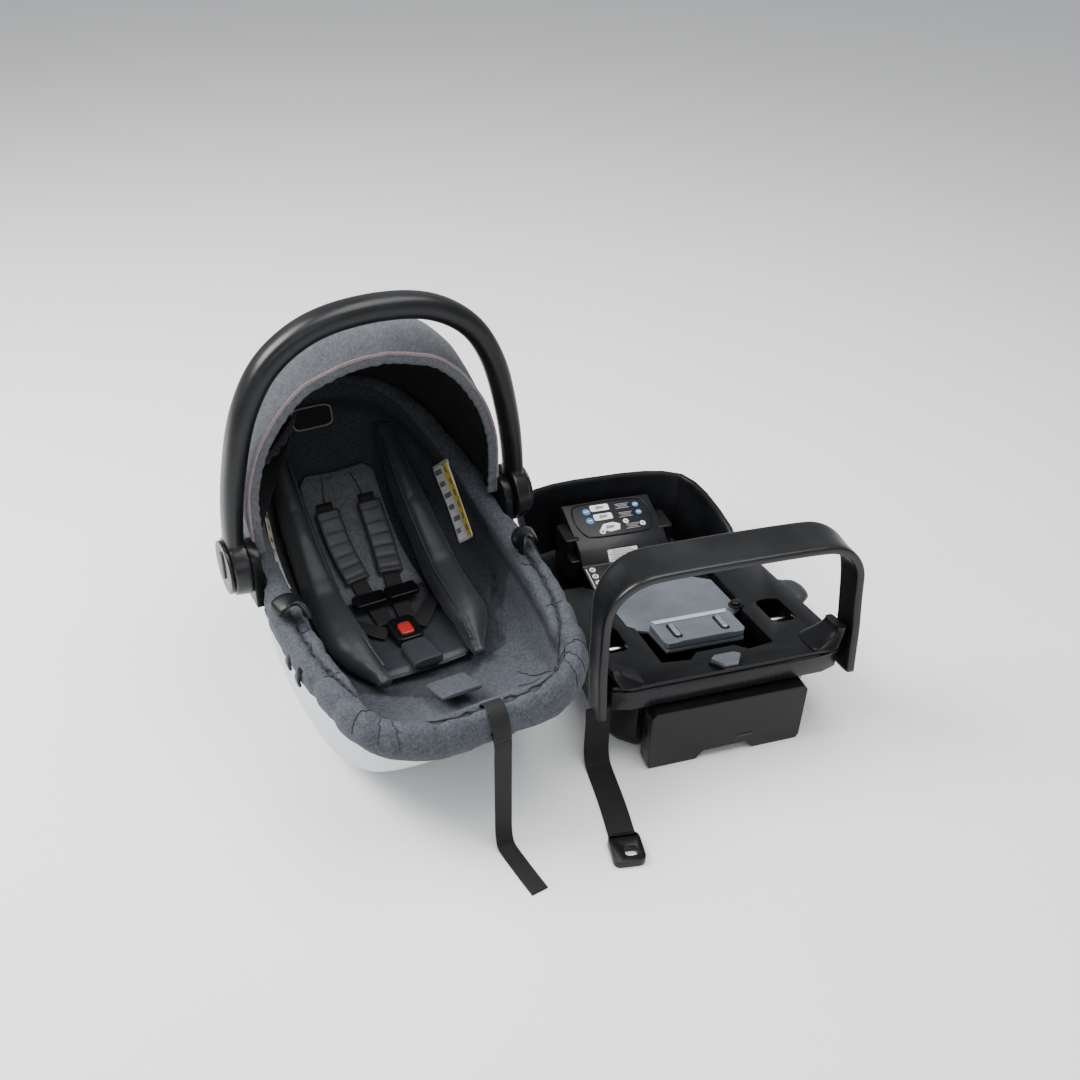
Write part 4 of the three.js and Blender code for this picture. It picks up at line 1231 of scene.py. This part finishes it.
def laid(outline_half, y_from, y_to, section, rows, around, up):
    """A pad that follows the seat: its half width, its ends, its section, and its height over the seat."""
    def place(u, w):
        y = lerp(y_from, y_to, w)
        a, b = section(w, 2 * math.pi * u)
        x = a * outline_half(y)
        return on_carrier(x, y, seat_at(x, y) + up(y) + b)
    bm = surface(place, around, rows)
    bmesh.ops.remove_doubles(bm, verts=bm.verts, dist=1e-6)
    ends = [e for e in bm.edges if e.is_boundary]
    bmesh.ops.holes_fill(bm, edges=ends, sides=0)
    return bm


# %% Back and seat pad
PAD_FRONT, PAD_BACK = -152, 190


def pad_half(y):
    return lerp(76, 60, smoothstep(-60, 120, y))


def wavy(y):
    return 24 + 7 * math.sin(y / 19)


def pad_section(w, angle):
    y = lerp(PAD_FRONT, PAD_BACK, w)
    a, b = round_box(2, 9.5, 0.4, angle)
    ends = min(1, smoothstep(-0.01, 0.05, w), 1 - smoothstep(0.96, 1.01, w))
    if b > 0:
        x = a * pad_half(y)
        b += 3.5 * ends * (1 - a * a)
        for seam in (-wavy(y), wavy(y)):
            b -= 3.2 * bell(x - seam, 3.5) * ends
        b -= 2.6 * bell(y - 18 - 5 * math.sin(x / 18), 4.0)
    return a * (1 - 0.25 * (1 - ends)), b * max(ends, 0.25)


bm = laid(pad_half, PAD_FRONT, PAD_BACK, pad_section, 130, 96, lambda y: 12)
back_pad = finished(bm, "insert_pad", GREY_KNIT, "carrier")
back_pad.data.materials.append(BOLSTER)
to_carrier = carrier_axes.inverted()
for f in back_pad.data.polygons:
    here = to_carrier @ f.center / MM
    f.material_index = 1 if here.y < 18 + 5 * math.sin(here.x / 18) else 0
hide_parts("back_pad")
for s, label in ((-1, "left"), (1, "right")):
    along_pad = np.linspace(PAD_FRONT + 30, PAD_BACK - 8, 60)
    line = [(s * wavy(y), y, seat_at(s * wavy(y), y) + 17.2) for y in along_pad]
    finished(swept(np.array(line), (1, 0, 0), oval(1.3, 0.8), 6, on_carrier),
             "pad_seam_" + label, THREAD, "carrier")
print("insert pad", len(back_pad.data.polygons), "faces")


# %% Bolsters
def bolster_line(s, count=60):
    line = []
    for i in range(count):
        t = i / (count - 1)
        y = lerp(196, -176, t)
        x = s * (86 + 7 * math.sin(math.pi * t) - 14 * smoothstep(0.75, 1, t))
        high = max(seat_at(x + d, y) for d in (-20, 0, 20))
        line.append((x, y, high + 20 + 0.10 * max(0, y)))
    return evenly(spline(line, 150), 70)


def bolster_section(t, angle):
    full = min(1, 0.55 + 1.6 * t) * (1 - smoothstep(0.76, 1.04, t) * 0.74)
    wide = lerp(52, 64, smoothstep(0.2, 0.65, t))
    return round_box(wide * full, 38 * full ** 0.8, 0.9, angle)


for s, label in ((-1, "left"), (1, "right")):
    line = bolster_line(s)
    bolster = finished(
        swept(line, (1, 0, 0), bolster_section, 28, on_carrier), "bolster_cushion_" + label, BOLSTER)
    inflated(bolster, 4.5, 4.0, 5.0)
    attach(bolster, "carrier")
    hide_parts("bolster_" + label)
    rail = frames_along(line, (1, 0, 0))
    count = len(rail) - 1
    seam_line = []
    for i, (p, across, normal) in enumerate(rail):
        t = i / count
        a, b = bolster_section(t, 0)
        w, h = abs(a), bolster_section(t, math.pi / 2)[1]
        lift = normal if normal.z > 0 else -normal
        seam_line.append(p - across * s * (w + 3.0) * 0.52 + lift * (abs(h) + 3.6) * 0.80)
    seam_line = np.array([tuple(p) for p in seam_line])[4:-3]
    welt = finished(
        swept(seam_line, (1, 0, 0), oval(1.7, 1.5), 8, on_carrier),
        "bolster_welt_" + label, BOLSTER, "carrier")

# %% [markdown]
# ## The harness
# Five pieces of webbing meet at the buckle. Each strap is a flat ribbon that lies on the pad, so it is
# modelled directly, and the padded sleeves over the shoulder straps are swept around the same line.

# %% Straps, sleeves and buckle cloth
def shoulder_x(y):
    return lerp(17, 34, smoothstep(-52, 118, y))


def on_pad(points, up):
    return spline([(x, y, seat_at(x, y) + up) for x, y in points], 40)


for s, label in ((-1, "left"), (1, "right")):
    route_over = [(s * shoulder_x(y), y) for y in np.linspace(150, -44, 9)]
    piece = strap("shoulder_webbing_" + label, on_pad(route_over, 26), (1, 0, 0), 25, "carrier", on_carrier)
    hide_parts("shoulder_strap_" + label)
    sleeve_over = [(s * shoulder_x(y), y) for y in np.linspace(138, 38, 6)]
    sleeve = finished(
        swept(on_pad(sleeve_over, 30), (1, 0, 0),
              lambda t, a: round_box(38, 9.5 - 2.2 * bell((t * 6) % 1 - 0.5, 0.1), 0.45, a), 28, on_carrier),
        "shoulder_sleeve_" + label, BOLSTER, "carrier")
    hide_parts("shoulder_pad_" + label)
    lap_over = [(s * 74, -22), (s * 52, -38), (s * 38, -52), (s * 24, -64)]
    lap = strap("lap_webbing_" + label, on_pad(lap_over, 26),
                (0.35 * s, 1, 0.1), 25, "carrier", on_carrier)
    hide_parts("lap_strap_" + label)
crotch = strap("crotch_webbing", on_pad([(0, -148), (0, -132), (0, -117), (0, -98)], 24), (1, 0, 0), 25,
               "carrier", on_carrier)
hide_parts("crotch_strap")
crotch_sleeve = finished(
    swept(on_pad([(0, -156), (0, -140), (0, -120), (0, -101)], 27), (1, 0, 0),
          lambda t, a: round_box(44 - 6 * t, 13, 0.5, a), 28, on_carrier),
    "crotch_sleeve", BOLSTER, "carrier")
flap = finished(
    swept(on_pad([(0, -209), (0, -225), (0, -244), (0, -262)], 22), (1, 0, 0),
          lambda t, a: round_box(58, 5.5, 0.4, a), 24, on_carrier),
    "adjuster_cover_flap", HEATHER, "adjuster_flap")
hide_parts("adjuster_flap")
strap(
    "adjuster_over_roll",
    spline([(0, -333, 214), (0, -337, 224), (0, -345, 230.5), (0, -356, 229.5), (0, -366, 222),
            (0.3, -372, 208), (1, -375.2, 190)], 40),
    (1, 0, 0), 25, "carrier", on_carrier)
print("harness made")

# %% [markdown]
# ## Guides, lever and side lobe
# These small mouldings are swept again from their own lines with round sections, so that they read as
# moulded plastic: the two hooks that guide a vehicle belt over the armrests, the release lever behind
# the head, and the ribbed oval lobe on the base's right side.

# %% Small swept mouldings
for s, label in ((-1, "left"), (1, "right")):
    guide_line = spline([(s * 158, -130, 270), (s * 160, -126, 279), (s * 166, -112, 284),
                         (s * 177, -104, 284), (s * 190, -103, 278), (s * 193, -103, 271)], 40)
    guide = finished(
        swept(guide_line, (0.2 * s, 1, 0),
              lambda t, a: round_box(25 + 5 * math.sin(math.pi * t), 6, 0.6, a), 24,
              on_carrier), "belt_hook_" + label, BLACK, "carrier")
    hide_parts("belt_guide_" + label)
for k, y in enumerate((-150, -186)):
    clip_line = spline([(-184, y, 240), (-192, y + 1, 233), (-196.5, y + 2, 222), (-195, y + 3, 211)], 20)
    finished(swept(clip_line, (0, 1, 0), lambda t, a: round_box(13, 5, 0.6, a), 20, on_carrier),
             f"cover_side_clip_{k}", BLACK, "carrier")
lever = finished(
    swept(spline([(-52, 262, 250), (-30, 272, 258), (0, 274, 259), (30, 272, 258), (52, 262, 250)], 50),
          (0, 0, 1),
          lambda t, a: round_box(18, 9, 0.6, a), 24, on_carrier), "release_grip", BLACK, "release_lever")
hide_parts("release_lever")
lobe = finished(
    swept(spline([(190, -58, 101), (198, -58, 101), (212, -58, 103), (224, -58, 101)], 26), (0, 1, 0),
          lambda t, a: round_box(lerp(70, 34, t * t) - 1.4 * (round(t * 26) % 4 == 0),
                                 lerp(26, 12, t * t), 0.8, a),
          40, on_base), "oval_lobe", CHARCOAL, "base")
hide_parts("side_lobe")

# %% [markdown]
# ## Printed labels and small marks
# Cards, bars and circles stand for printed instructions: plain shapes with no letters. Each is a thin
# piece laid on the surface that carries it, so it keeps its place and its own colour.

# %% Label colours
PAPER = plastic("label_white", (0.62, 0.62, 0.60), (0.72, 0.72, 0.70), 0.5, 0.0006, 0.1, 0.05)
YELLOW = plastic("label_yellow", (0.78, 0.56, 0.04), (0.85, 0.65, 0.10), 0.5, 0.0006, 0.1, 0.05)
PRINT = plastic("label_grey", (0.16, 0.16, 0.17), (0.25, 0.25, 0.26), 0.55, 0.0006, 0.1, 0.05)
BLUE = plastic("label_blue", (0.02, 0.13, 0.33), (0.10, 0.28, 0.5), 0.5, 0.0006, 0.1, 0.05)
PALE_GREY = plastic("pale_grey_plastic", (0.34, 0.38, 0.41), (0.45, 0.49, 0.52), 0.4)


# %% Laying a thin patch on the cover
def cover_normals():
    du = np.roll(sewn, -1, 0) - np.roll(sewn, 1, 0)
    dw = np.gradient(sewn, axis=1)
    n = np.cross(dw, du)
    return n / np.maximum(np.linalg.norm(n, axis=2), 1e-9)[..., None]


cover_tree = kdtree.KDTree(sewn.shape[0] * sewn.shape[1])
for k, p in enumerate(sewn.reshape(-1, 3)):
    cover_tree.insert(Vector(p), k)
cover_tree.balance()
cover_facing = cover_normals().reshape(-1, 3)
print("cover facing", round(float(cover_facing[:, 2].mean()), 2))


def over_cover(point, lift):
    """Moves a point onto the cover along the nearest facing, and then a little off it."""
    near = cover_tree.find_n(Vector(point), 4)
    n = sum((Vector(cover_facing[k]) for _, k, _ in near), Vector()).normalized()
    middle = sum((p for p, _, _ in near), Vector()) / len(near)
    q = Vector(point)
    return on_carrier(*(q - n * (q - middle).dot(n) + n * lift))


def wall_patch(name, corners, u_range, w_range, lift, material, square=0.12):
    """A thin patch on the cover, in a share of the four sided area between corners."""
    corners = [Vector(c) for c in corners]

    def place(u, w):
        a, b = round_box(1, 1, square, 2 * math.pi * u)
        uu, ww = lerp(*u_range, 0.5 + a * w), lerp(*w_range, 0.5 + b * w)
        top, low = corners[0].lerp(corners[1], uu), corners[3].lerp(corners[2], uu)
        return over_cover(top.lerp(low, ww), lift)
    bm = surface(place, 32, 10)
    bmesh.ops.remove_doubles(bm, verts=bm.verts, dist=1e-6)
    bmesh.ops.recalc_face_normals(bm, faces=bm.faces)
    bmesh.ops.solidify(bm, geom=list(bm.faces), thickness=0.4 * MM)
    return finished(bm, name, material, "carrier")


# %% Thread lines in the cover's seams
def thread_line(name, points, low, radius):
    """A dark thread at the bottom of a seam, drawn from above and laid on the cover."""
    on_top = evenly(np.array(on_surface(points, low)) + 1e-3 * np.arange(3), 60)
    there = [np.array(over_cover(p, 0.5)) for p in on_top]
    finished(swept(np.array(there), (0.1, 0.2, 1), oval(radius * MM, radius * MM), 6,
                   lambda x, y, z: Vector((x, y, z))), name, THREAD, "carrier")


thread_line("foot_seam_thread", foot_seam, 0.3, 1.3)
for s, label in ((-1, "left"), (1, "right")):
    outer = [(172, -92), (172, -140), (165, -200), (146, -252), STAR]
    thread_line("armrest_thread_" + label, [(s * x, y) for x, y in outer], 0.25, 1.3)
    gather_ends = [(150, -332), (128, -350), (172, -298), (84, -262), (98, -232), (158, -132), (150, -216)]
    for k, (x, y) in enumerate(gather_ends):
        start = STAR if k < 5 else (172, y - 6)
        ends = [start, ((start[0] + x) / 2, (start[1] + y) / 2), (x, y)]
        thread_line(f"gather_thread_{label}_{k}", [(s * a, b) for a, b in ends], 0.12, 0.8)

# %% Labels and a plain badge on the cover
wings = {
    "right": [(131, 120, 282), (150, 92, 309), (148, 4, 220), (137, 29, 193)],
    "left": [(-122, 140, 268), (-148, 96, 305), (-144, 10, 224), (-122, 34, 198)],
}
for label, wing in wings.items():
    wall_patch("wing_label_" + label, wing, (0, 1), (0, 1), 2.0, PAPER)
    wall_patch("wing_label_header_" + label, wing, (0.62, 0.97), (0.03, 0.97), 2.5, YELLOW)
    for k in range(6):
        start = 0.07 + 0.15 * k
        bar_span = (0.1, 0.52 - 0.1 * (k % 2))
        wall_patch(f"wing_label_bar_{label}_{k}", wing, bar_span, (start, start + 0.06), 2.5, PRINT)
        wall_patch(f"wing_header_mark_{label}_{k}", wing, (0.74, 0.85), (start, start + 0.08), 3.0, PRINT)
badge = [(-46, 236, 367), (20, 238, 365), (19, 227, 332), (-46, 225, 333)]
wall_patch("head_badge_edge", badge, (0, 1), (0, 1), 1.6, PIPING, 0.4)
wall_patch("head_badge", badge, (0.035, 0.965), (0.07, 0.93), 2.2, LINING, 0.4)


# %% Marks on the base
def marks_on(where, name, shapes, material, body, low=0.0, high=0.5):
    for k, outline in enumerate(shapes):
        slab(f"{name}_{k}", outline, low, high, where, material, body, edge=0.0)


def disc(cx, cy, r, count=20):
    return [(cx + r * math.cos(2 * math.pi * k / count), cy + r * math.sin(2 * math.pi * k / count))
            for k in range(count)]


HUMP_Y, HUMP_RISE = 180, (113 - 94) / 80


def on_hump(x, y, z):
    return on_base(x, y, 94 + (y - HUMP_Y) * HUMP_RISE + z)


panel_edge = [(58, 184), (70, 216), (64, 250), (54, 255), (-54, 255), (-64, 250), (-70, 216),
              (-58, 184), (-50, 181), (50, 181)]
panel_line = spline([(x, y, 94 + (y - HUMP_Y) * HUMP_RISE + 0.6) for x, y in panel_edge], 160, closed=True)
panel_line = np.concatenate([panel_line, panel_line[:2]])
finished(swept(panel_line, (0, 0, 1), oval(1.5, 1.5), 10, on_base, ends=False),
         "hump_panel_bead", BLACK, "base")
cards = [rounded_outline(-16, 244 - 21 * k, 34, 14, 3) for k in range(2)]
cards.append([(-30, 196), (-22, 206), (-4, 208), (8, 202), (4, 190), (-14, 188)])
marks_on(on_hump, "hump_card", cards, PAPER, "base")
marks_on(on_hump, "hump_card_shape", [[(x - 8, y - 4), (x + 7, y - 2), (x + 9, y + 3), (x - 6, y + 4)]
                                      for x, y in ((-16, 244), (-16, 223), (-12, 198))], PRINT, "base",
                                      0.5, 0.8)
blue_at = ((-42, 238), (-42, 217), (50, 240), (50, 222))
marks_on(on_hump, "hump_blue_circle", [disc(x, y, 7 if x < 0 else 5.5) for x, y in blue_at],
         BLUE, "base", 0.0, 0.8)
blue_marks = [[(x - 3.4, y - 1.3), (x + 3.4, y - 0.2), (x + 3.4, y + 1.6), (x - 3.4, y + 0.5)]
              for x, y in blue_at]
marks_on(on_hump, "hump_blue_mark", blue_marks, PAPER, "base", 0.8, 1.1)
white_circles = [disc(-28, 190, 5.4), disc(20, 206, 5), disc(48, 196, 5)]
marks_on(on_hump, "hump_white_circle", white_circles, PAPER, "base", 0, 0.7)
marks_on(on_hump, "hump_white_circle_mark",
         [disc(-28, 190, 2.6), disc(20, 206, 2.2), disc(48, 196, 2.4)], PRINT,
         "base", 0.7, 0.9)
bars = []
for x, y in ((26, 246), (26, 226), (30, 199)):
    for k in range(4):
        bars.append(rounded_outline(x - 1.5 * (k % 2), y - 3.2 * k, 26 - 4 * (k % 3), 1.3, 0.5, 1))
marks_on(on_hump, "hump_bar", bars, PRINT, "base", 0.0, 0.4)


def on_slope(x, y, z):
    """The steep face in front of the hump; y runs up it from its lower edge."""
    length = math.hypot(16, 18)
    return on_base(x, 142 + y * 16 / length - z * 18 / length, 64 + y * 18 / length + z * 16 / length)


marks_on(on_slope, "slope_sticker", [rounded_outline(-4, 12.2, 54, 21, 2)], PAPER, "base", 0.2, 0.7)
marks_on(on_slope, "slope_sticker_bar",
         [rounded_outline(-4 - (k % 2), 4.6 + 3.1 * k, 46 - 5 * (k % 3), 1.2, 0.4, 1)
                                         for k in range(6)], PRINT, "base", 0.7, 0.9)


def on_ledge(x, y, z):
    return on_base(x, y, 56 + (y - 64) * 8 / 78 + z)


ledge_rows = (132, 116, 100, 84, 70)
marks_on(on_ledge, "ledge_circle", [disc(-66, y, 5.5) for y in ledge_rows], PAPER, "base", 0.1, 0.6)
marks_on(on_ledge, "ledge_circle_mark", [disc(-66, y, 2.8) for y in ledge_rows], PRINT, "base", 0.6, 0.8)
marks_on(on_ledge, "ledge_line", [rounded_outline(-76, 101, 1.6, 70, 0.6, 1)], PAPER, "base", 0.1, 0.6)
print("labels made")

# %% Small fittings on the base
for s, label in ((-1, "left"), (1, "right")):
    slab("hump_shoulder_" + label, rounded_outline(s * 86, 206, 26, 54, 5), 30, 96, on_base, BLACK, "base",
         3.0, True)
    slab("hump_shoulder_step_" + label, rounded_outline(s * 86, 168, 22, 30, 4), 30, 70, on_base, BLACK,
         "base", 2.5, True)
slab("door_rear_bevel", [(58, -112), (61, -103), (-61, -103), (-58, -112)], 4.1, 6.0, on_deck, PALE_GREY,
     "lock_off_door", 0.6, True)
slab("door_front_step", rounded_outline(0, -164, 84, 9, 2), 4.1, 6.2, on_deck, GREY, "lock_off_door",
     0.8, True)
slab("latch_knob", disc(84, -92, 8, 28), 0.3, 9, on_deck, BLACK, "base", 2.4, True)
slab("latch_knob_base", disc(84, -92, 11, 28), 0.1, 3, on_deck, BLACK, "base", 0.8, True)
for k in range(5):
    slab(f"tab_rib_{k}", rounded_outline(-22, 92 + 5 * k, 22, 2, 0.9, 2), 0.0, 1.2,
         lambda x, y, z: on_base(x, y, 74.6 + (y - 102) * math.tan(math.radians(8)) + z),
         CHARCOAL, "tension_tab", 0.3, True)
lip = [(-187.3, -70), (-187.3, -150), (-187.3, -222), (-176.5, -243.5), (-150, -252), (-60, -253.2),
       (0, -253.2),
       (60, -253.2), (150, -252), (176.5, -243.5), (187.3, -222), (187.3, -150), (187.3, -70)]
lip_line = spline([(x, y, deck_z(y) - 9) for x, y in lip], 150)
finished(swept(lip_line, (0, 0, 1), oval(1.6, 1.2), 8, on_base),
         "deck_lip_bead", BLACK, "base")
slab("button_rim", [(0, -252.5), (11, -252.2), (27, -229.5), (20, -218), (0, -217), (-20, -218),
                    (-27, -229.5), (-11, -252.2)], 0.2, 2.4, on_deck, BLACK, "base", 0.8, True)
slab("foot_slot_mark", rounded_outline(30, 30, 26, 3.4, 1.5), 0, 0.8,
     lambda x, y, z: on_base(x, -266.2 - z, y), CHARCOAL, "recline_foot", 0.2, True)
print("fittings made")

# %% [markdown]
# ## Floor and light
# A pale flat floor lies under the object, and three large soft lamps light it the way a bright room
# does: a strong one above and to the left, one overhead, and a broad, weak one in front.

# %% Studio
FLOOR = 6.0  # half the floor's width in metres
bm = surface(lambda u, w: Vector(((u - 0.5) * 2 * FLOOR, (w - 0.5) * 2 * FLOOR, 0)), 8, 8)
floor = finished(bm, "studio_floor", None, smooth=False)
FLOOR_PAINT, n, shader = finish("studio_floor_paint")
speckle = n.add("TexNoise", {"Vector": n.add("TexCoord").outputs["Object"], "Scale": 3.0, "Detail": 3.0})
n.put(shader.inputs["Base Color"], n.mix(speckle.outputs["Fac"], (0.86, 0.86, 0.86, 1), (0.9, 0.9, 0.9, 1)))
shader.inputs["Roughness"].default_value = 0.9
floor.data.materials.append(FLOOR_PAINT)

world = bpy.data.worlds.new("studio")
bpy.context.scene.world = world
world.use_nodes = True
world.node_tree.nodes["Background"].inputs["Color"].default_value = (0.95, 0.97, 1.0, 1)
world.node_tree.nodes["Background"].inputs["Strength"].default_value = 0.5


def lamp(name, where, aim, size, power):
    light = bpy.data.lights.new(name, "AREA")
    light.shape = "RECTANGLE"
    light.size, light.size_y = size
    light.energy = power
    holder = bpy.data.objects.new(name, light)
    bpy.context.scene.collection.objects.link(holder)
    holder.location = where
    holder.rotation_euler = (Vector(aim) - Vector(where)).to_track_quat("-Z", "Y").to_euler()
    return holder


lamp("window", (-1.9, 0.5, 2.3), (0, 0, 0.3), (1.6, 1.6), 150)
lamp("ceiling", (0.5, -0.2, 2.6), (0, 0, 0.2), (2.2, 1.6), 75)
lamp("front", (-0.3, -2.6, 1.6), (0, 0, 0.3), (2.4, 1.2), 15)
print("three lamps")
